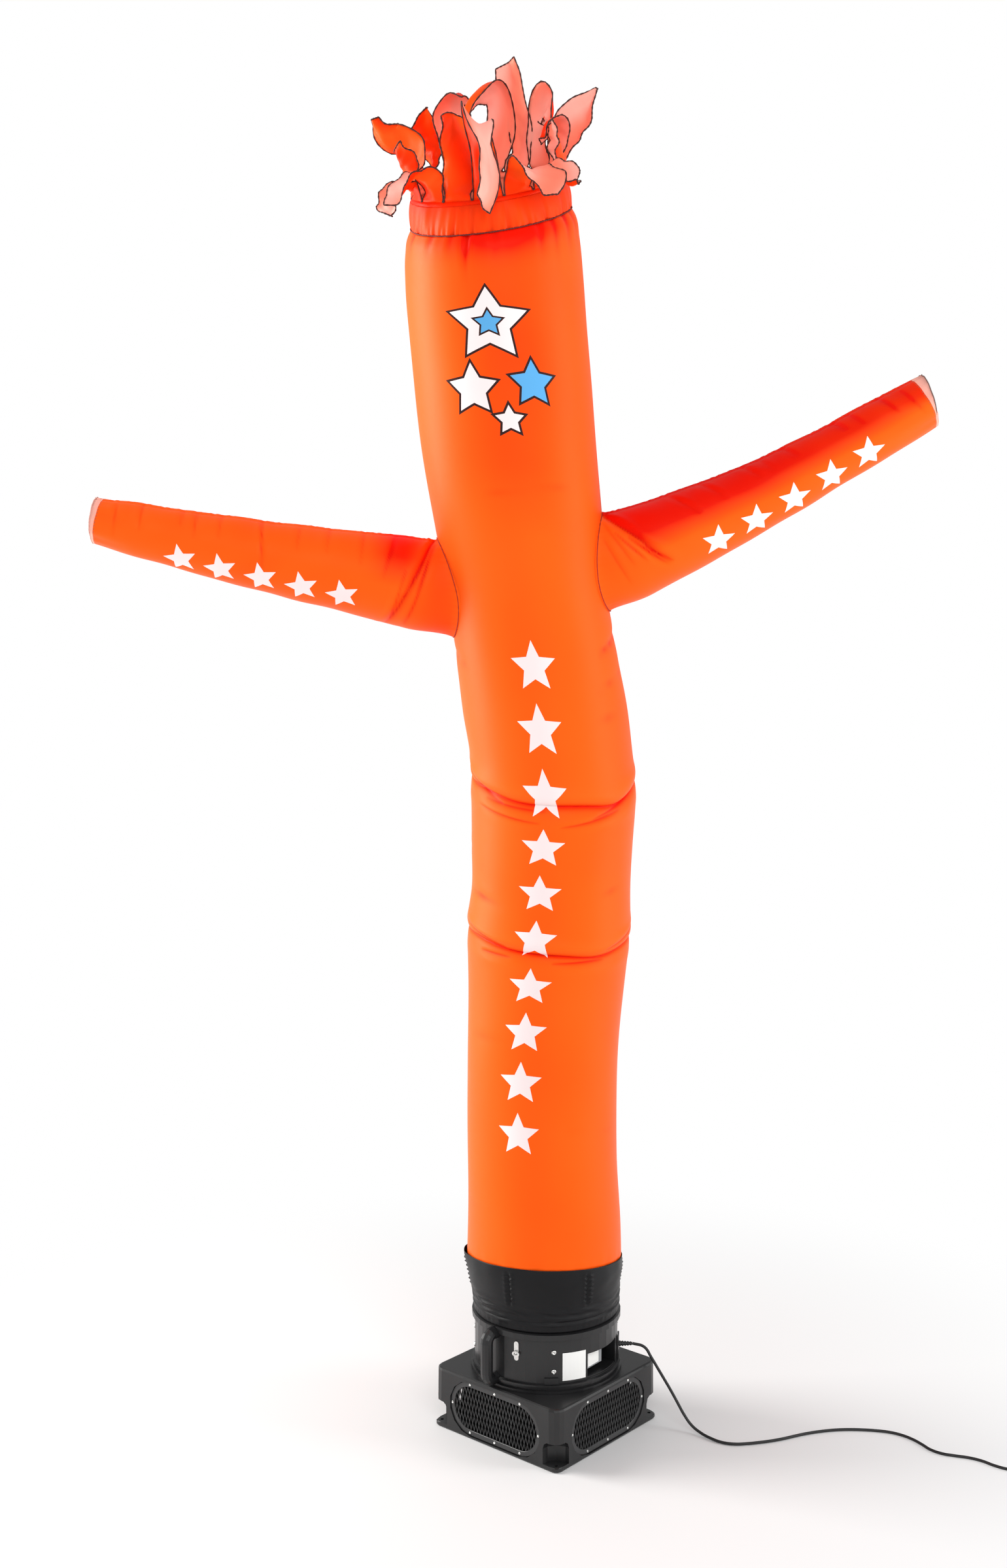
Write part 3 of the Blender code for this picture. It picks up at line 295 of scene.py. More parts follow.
def spread(low, high, count, places):
    """Values from low to high, closer together near each place (middle, reach, closeness)."""
    fine = np.linspace(low, high, 4000)
    weight = np.ones_like(fine)
    for middle, reach, close in places:
        weight += close * np.exp(-((fine - middle) / reach) ** 2)
    walked = np.concatenate([[0], np.cumsum((weight[1:] + weight[:-1]) / 2)])
    return np.interp(np.linspace(0, walked[-1], count), walked, fine)


def wave(angle, terms):
    """A sum of cosines (count, phase, amplitude)."""
    return sum(size * np.cos(count * angle + phase) for count, phase, size in terms)


def link_object(name, data):
    item = bpy.data.objects.new(name, data)
    bpy.context.scene.collection.objects.link(item)
    return item


def cloth_object(name, mesh, materials, depth):
    """A cloth piece from its mesh: its depth attribute, a thickness, and an inside in the last material."""
    attribute = mesh.attributes.new("depth", "FLOAT", "POINT")
    attribute.data.foreach_set("value", np.asarray(depth, np.float32).ravel())
    item = link_object(name, mesh)
    for material in materials:
        mesh.materials.append(material)
    mesh.shade_smooth()
    solid = item.modifiers.new("thickness", "SOLIDIFY")
    solid.thickness = CLOTH_THICK
    solid.offset = -1.0
    if len(materials) > 1:
        solid.material_offset = 1
        solid.material_offset_rim = 1
    return item


def grid_object(name, points, materials, flat, depth, drop=None):
    """A cloth sheet through a grid of points that closes around, without the cells inside drop."""
    rows, columns = points.shape[:2]
    mesh = bpy.data.meshes.new(name)
    i, j = np.meshgrid(np.arange(rows - 1), np.arange(columns), indexing="ij")
    after = (j + 1) % columns
    low, high = i * columns, (i + 1) * columns
    quads = np.stack([low + j, low + after, high + after, high + j], -1).reshape(-1, 4)
    low, high = i * (columns + 1), (i + 1) * (columns + 1)
    corners = np.stack([low + j, low + j + 1, high + j + 1, high + j], -1).reshape(-1, 4)
    if drop is not None:
        keep = ~drop.ravel()[quads].all(axis=1)
        quads = quads[keep]
        corners = corners[keep]
    mesh.from_pydata(points.reshape(-1, 3).tolist(), [], quads.tolist())
    layer = mesh.uv_layers.new(name="flat")
    layer.data.foreach_set("uv", flat.reshape(-1, 2)[corners.ravel()].astype(np.float32).ravel())
    item = cloth_object(name, mesh, materials, depth)
    if drop is not None:
        work = bmesh.new()
        work.from_mesh(mesh)
        bmesh.ops.delete(work, geom=[v for v in work.verts if not v.link_faces], context="VERTS")
        work.to_mesh(mesh)
        work.free()
    return item


def finish_piece(item, slot, *nodes):
    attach(item, "root")
    if nodes:
        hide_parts(*nodes)
    return item


def mesh_object(name, verts, faces, material, smooth=None):
    mesh = bpy.data.meshes.new(name)
    mesh.from_pydata([tuple(v) for v in verts], [], faces)
    work = bmesh.new()
    work.from_mesh(mesh)
    bmesh.ops.recalc_face_normals(work, faces=work.faces)
    work.to_mesh(mesh)
    work.free()
    if smooth is not None:
        mesh.shade_smooth()
        mesh.set_sharp_from_angle(angle=math.radians(smooth))
    mesh.materials.append(material)
    return link_object(name, mesh)


def join_shapes(shapes):
    verts = []
    faces = []
    for shape_verts, shape_faces in shapes:
        start = len(verts)
        verts += [tuple(v) for v in shape_verts]
        faces += [tuple(start + k for k in face) for face in shape_faces]
    return verts, faces


def ring_faces(levels, count, closed=False):
    """Faces from each ring of points to the next, and from the last to the first where it is closed."""
    faces = []
    for level in range(levels if closed else levels - 1):
        low, high = level * count, (level + 1) % levels * count
        for i in range(count):
            j = (i + 1) % count
            faces.append((low + i, low + j, high + j, high + i))
    return faces


def looped(rings):
    """A closed body whose last ring meets its first."""
    return [p for ring in rings for p in ring], ring_faces(len(rings), len(rings[0]), closed=True)


def stack(rings):
    """A closed body between the first ring and the last."""
    count = len(rings[0])
    faces = ring_faces(len(rings), count)
    faces.append(tuple(reversed(range(count))))
    faces.append(tuple(range((len(rings) - 1) * count, len(rings) * count)))
    return [p for ring in rings for p in ring], faces


def disc(radius, sides):
    return [(radius * math.cos(TAU * k / sides), radius * math.sin(TAU * k / sides)) for k in range(sides)]


def tube(points, radius, sides=6, bumps=0.0, closed=False):
    """A round thread or pipe along points; bumps make it swell stitch by stitch."""
    points = [Vector(p) for p in points]
    count = len(points)
    rings = []
    side = None
    for i, point in enumerate(points):
        before = points[(i - 1) % count] if closed else points[max(0, i - 1)]
        after = points[(i + 1) % count] if closed else points[min(count - 1, i + 1)]
        along = (after - before).normalized()
        if side is None:
            side = along.orthogonal().normalized()
        side = (side - along * side.dot(along)).normalized()
        other = along.cross(side)
        r = radius * (1 + bumps * (1 if i % 2 else -1))
        rings.append([point + r * (math.cos(TAU * k / sides) * side + math.sin(TAU * k / sides) * other)
                      for k in range(sides)])
    return looped(rings) if closed else stack(rings)


def walked_along(points):
    """How far along a line each of its points is."""
    return np.concatenate([[0], np.cumsum(np.linalg.norm(np.diff(points, axis=0), axis=1))])


def smooth_path(points, count):
    """Points at even steps along a smooth curve through the given ones."""
    given = [np.array(p, float) for p in points]
    ends = [2 * given[0] - given[1]] + given + [2 * given[-1] - given[-2]]
    dense = []
    for i in range(1, len(ends) - 2):
        p0, p1, p2, p3 = ends[i - 1], ends[i], ends[i + 1], ends[i + 2]
        for step in range(24):
            t = step / 24
            dense.append(0.5 * (2 * p1 + (p2 - p0) * t + (2 * p0 - 5 * p1 + 4 * p2 - p3) * t * t
                                + (3 * p1 - p0 - 3 * p2 + p3) * t ** 3))
    dense.append(given[-1])
    dense = np.array(dense)
    walked = walked_along(dense)
    wanted = np.linspace(0, walked[-1], count)
    return [Vector([np.interp(s, walked, dense[:, k]) for k in range(3)]) for s in wanted]


# Camera, light and floor

VIEW_PLACE = (-0.0954, -3.6813, 1.7515)
VIEW_TILT = 85.08
VIEW_LENS = 39.02
SKY_LIGHT = 0.50
PURE_WHITE = (1.0, 1.0, 1.0, 1.0)

# Each light: name, place, what it points at, width and height, power in watts, colour
LIGHTS = [
    ("key_left", (-3.0, 0.5, 2.3), (-0.1, -0.1, 1.8), (1.4, 3.4), 175.0, (1.0, 0.98, 0.95)),
    ("fill_front", (0.6, -4.6, 3.6), (0.0, 0.0, 1.2), (3.0, 2.0), 105.0, (1.0, 1.0, 1.0)),
    ("fill_right", (3.2, -0.6, 1.7), (0.0, 0.0, 1.2), (1.2, 3.0), 60.0, (1.0, 1.0, 0.99)),
]

# The floor's reach each way and its height; from WHITE_FROM out it fades to white over the next WHITE_OVER
FLOOR_REACH = 30.0
FLOOR_HEIGHT = -0.0005
WHITE_FROM = 0.2
WHITE_OVER = 1.5


def make_view():
    camera = bpy.data.cameras.new("camera")
    camera.lens = VIEW_LENS
    camera.sensor_width = 36.0
    camera.clip_end = 100.0
    item = link_object("camera", camera)
    item.location = VIEW_PLACE
    item.rotation_euler = (math.radians(VIEW_TILT), 0.0, 0.0)
    bpy.context.scene.camera = item
    bpy.context.scene.view_settings.view_transform = "Standard"


def make_light(name, place, target, size, watts, colour):
    data = bpy.data.lights.new(name, "AREA")
    data.shape = "RECTANGLE"
    data.size, data.size_y = size
    data.energy = watts
    data.color = colour
    item = link_object(name, data)
    item.location = place
    item.rotation_euler = (Vector(target) - Vector(place)).to_track_quat("-Z", "Y").to_euler()


def make_sky():
    """Soft light from all around, seen as plain white."""
    world = bpy.data.worlds.new("world")
    world.use_nodes = True
    Value.tree = world.node_tree
    light = world.node_tree.nodes["Background"]
    light.inputs["Color"].default_value = PURE_WHITE
    light.inputs["Strength"].default_value = SKY_LIGHT
    plain = node("ShaderNodeBackground")
    plain.inputs["Color"].default_value = PURE_WHITE
    blend_shaders(node("ShaderNodeLightPath").outputs["Is Camera Ray"], light.outputs["Background"],
                  plain.outputs["Background"], "World Output")
    bpy.context.scene.world = world


def make_floor():
    """A pale floor that takes the shadow near the blower and fades to white around it."""
    material, shader = new_material("floor_pale")
    split = node("ShaderNodeSeparateXYZ")
    link(node("ShaderNodeTexCoord").outputs["Object"], split.inputs[0])
    x = Value(split.outputs["X"])
    y = Value(split.outputs["Y"])
    away = (x * x + y * y).math("POWER", 0.5)
    fade = ((away - WHITE_FROM) / WHITE_OVER).most(0.0).least(1.0)
    fade = fade * fade * ((fade * -2.0) + 3.0)
    shader.inputs["Base Color"].default_value = (0.74, 0.74, 0.745, 1.0)
    shader.inputs["Roughness"].default_value = 0.6
    white = node("ShaderNodeEmission")
    white.inputs["Color"].default_value = PURE_WHITE
    blend_shaders(fade, shader.outputs["BSDF"], white.outputs["Emission"], "Material Output")
    signs = ((-1, -1), (1, -1), (1, 1), (-1, 1))
    corners = [(a * FLOOR_REACH, b * FLOOR_REACH, FLOOR_HEIGHT) for a, b in signs]
    floor = mesh_object("floor", corners, [(0, 1, 2, 3)], material)


make_view()
make_sky()
for entry in LIGHTS:
    make_light(*entry)
make_floor()


# Materials of the hard pieces

PLASTIC = plastic_material("black_plastic", (0.0085, 0.0085, 0.0092), (0.0145, 0.0145, 0.0152), 0.33)
RUBBER = plastic_material("black_rubber", (0.010, 0.010, 0.011), (0.018, 0.018, 0.018), 0.50, 700.0, 0.4)
ZINC = metal_material("zinc_steel", (0.80, 0.80, 0.78), 0.18)
BRASS = metal_material("pin_brass", (0.78, 0.60, 0.30), 0.22)
GREY = plastic_material("grey_metal", (0.24, 0.25, 0.26), (0.33, 0.34, 0.35), 0.45, 400.0, 0.1)
WHITE = plastic_material("white_plate", (0.80, 0.80, 0.78), (0.86, 0.86, 0.85), 0.42, 500.0, 0.05)

# The mains cord: its route from the strain relief to the coil, as its solid has it
DRUM_RADIUS = 0.159
COVER_THICK = 0.0035
RELIEF_LENGTH = 0.030
EXIT_HEIGHT = 0.1785
CORD_RADIUS = 0.0032
CORD_STRAIGHT = 0.006
COIL_CENTRE = (1.066, -0.312)
COIL_TURN = 0.0380
COIL_TURNS = 5
COIL_STEPS = 100
COIL_PITCH = 2 * CORD_RADIUS + 0.0002
TAIL_HEADING = math.radians(-32.0)
PLUG_HEADING = math.radians(-110.0)
PLUG_NECK = 0.0048
PLUG_MOUTH_HEIGHT = 0.0052
CORD_ROUTE = [
    (0.208, -0.001, 0.1778),
    (0.218, -0.005, 0.1735),
    (0.229, -0.012, 0.16),
    (0.242, -0.019, 0.14),
    (0.262, -0.027, 0.108),
    (0.282, -0.035, 0.075),
    (0.308, -0.05, 0.031),
    (0.332, -0.068, 0.009),
    (0.372, -0.106, 0.0035),
    (0.414, -0.12, 0.0035),
    (0.495, -0.1035, 0.0035),
    (0.584, -0.067, 0.0035),
    (0.666, -0.052, 0.0035),
    (0.754, -0.064, 0.0035),
    (0.801, -0.1, 0.0035),
    (0.838, -0.158, 0.0035),
    (0.912, -0.188, 0.0035),
    (0.965, -0.231, 0.0035),
]


def heading_frame(heading):
    along = np.array((math.cos(heading), math.sin(heading)))
    return along, np.array((-along[1], along[0]))


def cord_line():
    """The whole cord's middle line: the free stretch, the coil's turns and the run to the plug."""
    mouth = np.array((DRUM_RADIUS + 2 * GAP + COVER_THICK + RELIEF_LENGTH + GAP, 0.0, EXIT_HEIGHT))
    ahead = mouth + (CORD_STRAIGHT, 0.0, 0.0)
    along, left = heading_frame(TAIL_HEADING)
    turn = COIL_TURN + COIL_PITCH
    centre = np.array(COIL_CENTRE)
    touch = centre + left * turn
    low = CORD_RADIUS + GAP
    before = [(*(touch - along * distance), low) for distance in (0.050, 0.022)]
    free = smooth_path([tuple(mouth), tuple(ahead)] + CORD_ROUTE + before, 40)
    start = TAIL_HEADING + math.pi / 2
    swept = TAU * COIL_TURNS + TAIL_HEADING - PLUG_HEADING
    shares = np.linspace(0, 1, COIL_STEPS)
    radius = turn - COIL_PITCH * swept / TAU * (0.5 - np.abs(shares - 0.5))
    height = low + 2 * CORD_RADIUS * np.clip((shares - 0.42) / 0.16, 0, 1)
    height -= (height[-1] - PLUG_MOUTH_HEIGHT) * 0.5 * np.clip((shares - 0.97) / 0.03, 0, 1)
    coil = []
    for share, r, z in zip(shares, radius, height):
        angle = start - swept * share
        coil.append((COIL_CENTRE[0] + r * math.cos(angle), COIL_CENTRE[1] + r * math.sin(angle), z))
    outer = COIL_TURN + 1.5 * COIL_PITCH
    run = math.sqrt((outer + GAP) ** 2 - (turn - PLUG_NECK) ** 2)
    along, left = heading_frame(PLUG_HEADING)
    end = centre + left * turn + along * run
    return [tuple(p) for p in free] + coil + [(*end, PLUG_MOUTH_HEIGHT)]


def make_cord():
    points = cord_line()
    data = bpy.data.curves.new("mains_cord", "CURVE")
    data.dimensions = "3D"
    data.bevel_depth = CORD_RADIUS
    data.bevel_resolution = 4
    data.resolution_u = 6
    data.use_fill_caps = True
    spline = data.splines.new("BEZIER")
    spline.bezier_points.add(len(points) - 1)
    for spot, point in zip(spline.bezier_points, points):
        spot.co = point
        spot.handle_left_type = spot.handle_right_type = "AUTO"
    data.materials.append(RUBBER)
    item = link_object("mains_cord", data)
    finish_piece(item, "black_rubber", "cord", "cord_coil")
    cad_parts["plug"].data.materials[0] = RUBBER
    for name in ("plug_blade_1", "plug_blade_2", "plug_pin"):
        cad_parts[name].data.materials[0] = BRASS


make_cord()


# The dancer's body, a ring a row: z, x and y of its middle, radius, slope along x and slope along y
BODY_RINGS = [
    (0.3903, -0.005, 0.0, 0.1705, -0.026, -0.11),
    (0.47, -0.006, 0.0, 0.169, 0.0, 0.0),
    (0.62, -0.009, 0.0, 0.165, 0.0, 0.0),
    (0.82, -0.01, 0.0, 0.1645, 0.0, 0.0),
    (0.99, -0.002, 0.0, 0.1705, 0.0, 0.05),
    (1.085, 0.002, 0.0, 0.1765, -0.03, 0.14),
    (1.116, 0.004, 0.0, 0.1785, -0.04, 0.16),
    (1.147, 0.005, -0.001, 0.1775, -0.03, 0.17),
    (1.212, 0.009, -0.003, 0.1725, 0.0, 0.22),
    (1.31, 0.01, -0.006, 0.174, 0.0, 0.3),
    (1.415, 0.012, -0.01, 0.1785, -0.02, 0.37),
    (1.449, 0.012, -0.012, 0.1795, -0.03, 0.39),
    (1.484, 0.01, -0.015, 0.177, -0.02, 0.36),
    (1.6, -0.006, -0.026, 0.177, 0.0, 0.22),
    (1.71, -0.024, -0.04, 0.172, 0.0, 0.12),
    (1.82, -0.04, -0.053, 0.168, 0.0, 0.05),
    (1.93, -0.056, -0.068, 0.174, 0.0, 0.03),
    (2.06, -0.073, -0.086, 0.18, 0.0, 0.03),
    (2.22, -0.092, -0.11, 0.182, 0.0, 0.06),
    (2.37, -0.106, -0.134, 0.1825, 0.0, 0.12),
    (2.475, -0.114, -0.152, 0.1805, 0.06, 0.23),
    (2.542, -0.118, -0.164, 0.176, 0.1, 0.34),
    (2.578, -0.119, -0.171, 0.1695, 0.13, 0.39),
    (2.594, -0.12, -0.175, 0.1605, 0.14, 0.41),
]

# The gathered band above the head seam and the black cuff, in the body's columns
BAND_RINGS = [
    (2.5947, -0.12, -0.1752, 0.1605, 0.14, 0.41),
    (2.62, -0.122, -0.1795, 0.159, 0.14, 0.41),
    (2.645, -0.1245, -0.183, 0.1575, 0.14, 0.41),
]
CUFF_RINGS = [
    (0.2683, 0.0, 0.0, 0.16, 0.0, 0.0),
    (0.284, 0.0, 0.0, 0.1614, 0.0, 0.0),
    (0.3, -0.001, 0.0, 0.1622, 0.0, 0.0),
    (0.33, -0.003, 0.0, 0.166, 0.0, -0.03),
    (0.364, -0.004, 0.0, 0.1712, -0.02, -0.08),
    (0.39, -0.005, 0.0, 0.1722, -0.026, -0.11),
]

# The arms, a ring a row: how far out from the body's middle plane, y and z of its middle, radius
LEFT_ARM = [
    (0.1, -0.064, 1.846, 0.0975),
    (0.17, -0.066, 1.852, 0.0975),
    (0.23, -0.068, 1.858, 0.097),
    (0.276, -0.071, 1.864, 0.096),
    (0.296, -0.073, 1.868, 0.0945),
    (0.318, -0.075, 1.872, 0.0935),
    (0.42, -0.083, 1.89, 0.085),
    (0.54, -0.09, 1.911, 0.0765),
    (0.67, -0.095, 1.936, 0.068),
    (0.81, -0.099, 1.965, 0.0575),
    (0.9, -0.101, 1.985, 0.0515),
    (0.948, -0.102, 1.996, 0.0465),
]
RIGHT_ARM = [
    (-0.01, -0.074, 1.884, 0.0975),
    (0.06, -0.076, 1.897, 0.0975),
    (0.12, -0.078, 1.91, 0.097),
    (0.175, -0.08, 1.928, 0.095),
    (0.2, -0.081, 1.938, 0.0925),
    (0.226, -0.083, 1.949, 0.0905),
    (0.33, -0.088, 1.995, 0.08),
    (0.456, -0.093, 2.056, 0.0695),
    (0.57, -0.098, 2.118, 0.063),
    (0.69, -0.103, 2.186, 0.059),
    (0.75, -0.105, 2.221, 0.0565),
    (0.782, -0.106, 2.24, 0.0545),
]

# Folds in the body and the arms, a fold a row: place along the tube, depth, azimuth of its middle and
# half its reach in degrees, how far it climbs in one radian, and the widths of its sharp and soft parts
BODY_FOLDS = [
    (1.449, 0.015, 0.0, 118.0, 0.0, 0.0032, 0.015),
    (1.433, 0.0055, -36.0, 26.0, 0.004, 0.0026, 0.008),
    (1.472, 0.008, -68.0, 30.0, -0.03, 0.003, 0.01),
    (1.456, 0.0045, -30.0, 24.0, 0.006, 0.0022, 0.006),
    (1.433, 0.0055, 27.0, 24.0, 0.014, 0.0026, 0.008),
    (1.448, 0.005, 50.0, 24.0, 0.02, 0.0026, 0.008),
    (1.22, 0.0055, -62.0, 25.0, -0.012, 0.0024, 0.009),
    (1.246, 0.0018, 40.0, 20.0, 0.022, 0.0022, 0.006),
    (1.116, 0.014, 0.0, 116.0, 0.0, 0.0032, 0.015),
    (1.133, 0.0055, -60.0, 28.0, -0.022, 0.0026, 0.008),
    (1.101, 0.005, -42.0, 14.0, 0.006, 0.0024, 0.007),
    (1.098, 0.005, 20.0, 20.0, 0.0, 0.0024, 0.007),
    (1.133, 0.0055, 66.0, 26.0, 0.026, 0.0026, 0.008),
    (0.905, 0.0014, -48.0, 20.0, 0.01, 0.0024, 0.008),
    (0.7, 0.0012, 40.0, 24.0, -0.014, 0.0024, 0.008),
    (1.61, 0.0016, 48.0, 20.0, 0.024, 0.0024, 0.007),
    (1.675, 0.002, 60.0, 20.0, 0.034, 0.0024, 0.009),
    (1.75, 0.005, 72.0, 24.0, 0.05, 0.004, 0.016),
    (1.72, 0.003, -80.0, 22.0, -0.05, 0.004, 0.016),
    (2.05, 0.0012, 8.0, 30.0, 0.016, 0.0022, 0.007),
    (1.3, 0.0016, -76.0, 18.0, -0.03, 0.0024, 0.008),
    (0.52, 0.0012, -60.0, 20.0, -0.012, 0.0024, 0.008),
]

# Bends in a fold's line: the fold's row, azimuth and width of the bend in degrees, lift
BODY_BENDS = [
    (0, 0.0, 75.0, 0.018),
    (0, -54.0, 20.0, 0.007),
    (0, 46.0, 20.0, -0.009),
    (8, -62.0, 26.0, 0.006),
    (8, 36.0, 22.0, -0.01),
]
LEFT_FOLDS = [
    (0.288, 0.011, 6.0, 98.0, -0.027, 0.003, 0.01),
    (0.276, 0.004, -18.0, 50.0, -0.016, 0.0022, 0.007),
    (0.264, 0.0026, 26.0, 40.0, -0.022, 0.0022, 0.007),
    (0.315, 0.0036, -26.0, 40.0, -0.012, 0.0022, 0.007),
    (0.342, 0.0024, 40.0, 42.0, -0.01, 0.0024, 0.008),
    (0.4, 0.0016, 46.0, 38.0, 0.002, 0.0024, 0.008),
    (0.47, 0.0015, 52.0, 34.0, 0.003, 0.0024, 0.008),
    (0.53, 0.0015, 50.0, 34.0, 0.004, 0.0024, 0.008),
    (0.602, 0.0032, 30.0, 58.0, 0.012, 0.0018, 0.005),
    (0.69, 0.0015, 50.0, 36.0, 0.005, 0.0024, 0.008),
    (0.74, 0.002, 46.0, 42.0, 0.006, 0.0022, 0.008),
    (0.77, 0.0015, 58.0, 34.0, 0.004, 0.0022, 0.008),
    (0.85, 0.002, 40.0, 44.0, 0.006, 0.0022, 0.007),
    (0.9, 0.0018, 20.0, 50.0, 0.006, 0.0022, 0.007),
]
RIGHT_FOLDS = [
    (0.184, 0.013, 24.0, 56.0, -0.054, 0.0032, 0.011),
    (0.172, 0.0055, 8.0, 24.0, -0.05, 0.0022, 0.007),
    (0.202, 0.006, -6.0, 28.0, -0.06, 0.0024, 0.007),
    (0.218, 0.004, -14.0, 18.0, -0.066, 0.002, 0.006),
    (0.15, 0.0024, 20.0, 36.0, -0.03, 0.002, 0.006),
    (0.138, 0.002, -4.0, 34.0, -0.024, 0.002, 0.006),
    (0.296, 0.0046, 44.0, 30.0, -0.04, 0.0022, 0.007),
    (0.31, 0.0026, 32.0, 18.0, -0.04, 0.002, 0.006),
    (0.358, 0.0046, 46.0, 28.0, -0.036, 0.0022, 0.007),
    (0.438, 0.0046, 54.0, 26.0, -0.024, 0.0022, 0.007),
    (0.47, 0.0024, 50.0, 24.0, -0.02, 0.002, 0.006),
    (0.518, 0.004, 56.0, 26.0, -0.02, 0.0022, 0.007),
    (0.618, 0.004, 56.0, 26.0, -0.016, 0.0022, 0.007),
    (0.65, 0.002, 50.0, 26.0, -0.016, 0.002, 0.006),
    (0.71, 0.0026, 44.0, 34.0, -0.014, 0.0022, 0.007),
    (0.75, 0.002, 20.0, 40.0, -0.01, 0.0022, 0.007),
]


# How far an arm's front and back are drawn in at its root, and over what stretch
ROOT_DRAWN = 0.024
ROOT_OUT = (0.1, 0.16)


def fold_painted_shading(push, painted_shading=0.0):
    """The colour attribute of a fold: painted shade in troughs, painted light on crowns, shifted by the
    painted light and shade passed in.
    """
    return np.clip(0.5 + 16.0 * push + painted_shading, 0.0, 1.0)


def bell(value, middle, width):
    return np.exp(-((value - middle) / width) ** 2)


def wrapped(angle):
    return (angle + math.pi) % TAU - math.pi


def folds_at(folds, azimuth, along, bends=()):
    """How far the folds push the cloth in or out, and how much painted shade darkens their lines.

    Each fold is steep above and easy below, with swollen lips. Each bend lifts the line of one fold,
    by its row, around an azimuth."""
    push = np.zeros_like(azimuth)
    crease_shade = np.zeros_like(azimuth)
    for row, (place, depth, middle, reach, climb, sharp, wide) in enumerate(folds):
        off_side = wrapped(azimuth - math.radians(middle))
        fade = np.clip(1 - (off_side / math.radians(reach)) ** 2, 0, 1) ** 0.75
        line = place + climb * off_side
        for at, centre, width, lift in bends:
            if at == row:
                aside = np.degrees(wrapped(azimuth - math.radians(centre)))
                line = line + lift * bell(aside, 0.0, width)
        off = along - line
        far = np.sqrt(off ** 2 + (0.25 * sharp) ** 2)
        ease = np.where(off > 0, 0.55 * wide, wide)
        push -= depth * fade * (0.50 * np.exp(-far / sharp) + 0.50 * np.exp(-far / ease))
        push += 0.24 * depth * fade * np.exp(-((off - 1.5 * wide) / (0.9 * wide)) ** 2)
        push += 0.12 * depth * fade * np.exp(-((off + 2.4 * wide) / wide) ** 2)
        # Painted shade along the fold's line.
        crease_shade += fade ** 0.5 * min(1.0, depth / 0.0045) * np.exp(-far / (0.9 * sharp))
    return push, np.minimum(crease_shade, 1.3)


def ring_grid(rows, z, azimuth, push):
    """Points on a round upright tube at each ring's height and azimuth, pushed in or out."""
    angle = azimuth + FRONT
    reach = table_at(rows, z, 3) + push
    dx = reach * np.cos(angle)
    dy = reach * np.sin(angle)
    rise = table_at(rows, z, 4) * dx + table_at(rows, z, 5) * dy
    return np.stack([table_at(rows, z, 1) + dx, table_at(rows, z, 2) + dy, z + rise], -1)


def outside_body(points):
    """How far points lie outside the body tube."""
    z = points[..., 2].copy()
    for _ in range(3):
        dx = points[..., 0] - table_at(BODY_RINGS, z, 1)
        dy = points[..., 1] - table_at(BODY_RINGS, z, 2)
        z = points[..., 2] - table_at(BODY_RINGS, z, 4) * dx - table_at(BODY_RINGS, z, 5) * dy
    return np.hypot(dx, dy) - table_at(BODY_RINGS, z, 3)


def arm_frame(rows, side, out):
    """The middle, back and up directions of an arm at distances out along it."""
    def middle(at):
        return np.stack([side * at, table_at(rows, at, 1), table_at(rows, at, 2)], -1)
    along = middle(out + 0.004) - middle(out - 0.004)
    along /= np.linalg.norm(along, axis=-1, keepdims=True)
    back = np.array([0.0, 1.0, 0.0]) - along * along[..., 1:2]
    back /= np.linalg.norm(back, axis=-1, keepdims=True)
    up = side * np.cross(along, back)
    return middle(out), back, up


def drawn_in(rows, out):
    """How far the arm's front and back are drawn in where it meets the body tube."""
    return ROOT_DRAWN * np.clip(1 - (out - rows[0][0] - ROOT_OUT[0]) / ROOT_OUT[1], 0, 1) ** 1.5


def arm_grid(rows, side, out, azimuth, push):
    """Points on an arm; its azimuth is 0 at the front and positive upwards."""
    middle, back, up = arm_frame(rows, side, out)
    reach = (table_at(rows, out, 3) + push)[..., None]
    deep = reach - drawn_in(rows, out)[..., None]
    return middle + reach * up * np.sin(azimuth)[..., None] - deep * back * np.cos(azimuth)[..., None]


def arm_roots(rows, side, azimuth):
    """How far out an arm's surface leaves the body tube, at each azimuth around the arm."""
    out = np.linspace(rows[0][0], rows[0][0] + 0.36, 721)
    grid_out, grid_azimuth = np.meshgrid(out, azimuth, indexing="ij")
    gap = outside_body(arm_grid(rows, side, grid_out, grid_azimuth, 0.0))
    first = len(out) - 1 - np.argmax((gap < 0)[::-1], axis=0)
    first = np.minimum(first, len(out) - 2)
    column = np.arange(len(azimuth))
    low = gap[first, column]
    high = gap[first + 1, column]
    return out[first] + (out[1] - out[0]) * low / (low - high)


# Points around each cloth piece; how far the body reaches into an arm; how much painted shade darkens a
# crease
BODY_COLUMNS = 192
ARM_COLUMNS = 96
FINE_COLUMNS = 384
ARM_OVERLAP = 0.004
FOLD_PAINTED_SHADE = 0.34

# The printed stars on each arm: first star's place, spacing, height off the middle line, lean
LEFT_STARS = (0.424, 0.0845, -0.056, 0.03)
RIGHT_STARS = (0.33, 0.0875, -0.051, 0.05)


def gathers(azimuth):
    """The even and uneven gathers of the band, from -1 to 1."""
    return (np.cos(13 * azimuth + 0.8) + 0.5 * np.cos(29 * azimuth + 2.0) + 0.4 * np.cos(7 * azimuth)
            + 0.3 * np.cos(47 * azimuth + 0.5)) / 2.2


# Darts that run down from the head seam: azimuth in degrees, depth, width in degrees, length
HEAD_TOP = 2.5940
HEAD_DARTS = [(-17.0, 0.0095, 1.8, 0.048), (-29.0, 0.003, 1.8, 0.028), (-46.0, 0.003, 1.8, 0.026),
              (2.0, 0.0035, 2.0, 0.026), (34.0, 0.0045, 2.0, 0.036), (47.0, 0.005, 2.2, 0.044),
              (61.0, 0.005, 2.2, 0.04), (74.0, 0.0035, 2.0, 0.034), (-70.0, 0.0035, 2.2, 0.03),
              (110.0, 0.005, 2.4, 0.045), (-120.0, 0.005, 2.4, 0.045), (160.0, 0.005, 2.4, 0.045)]


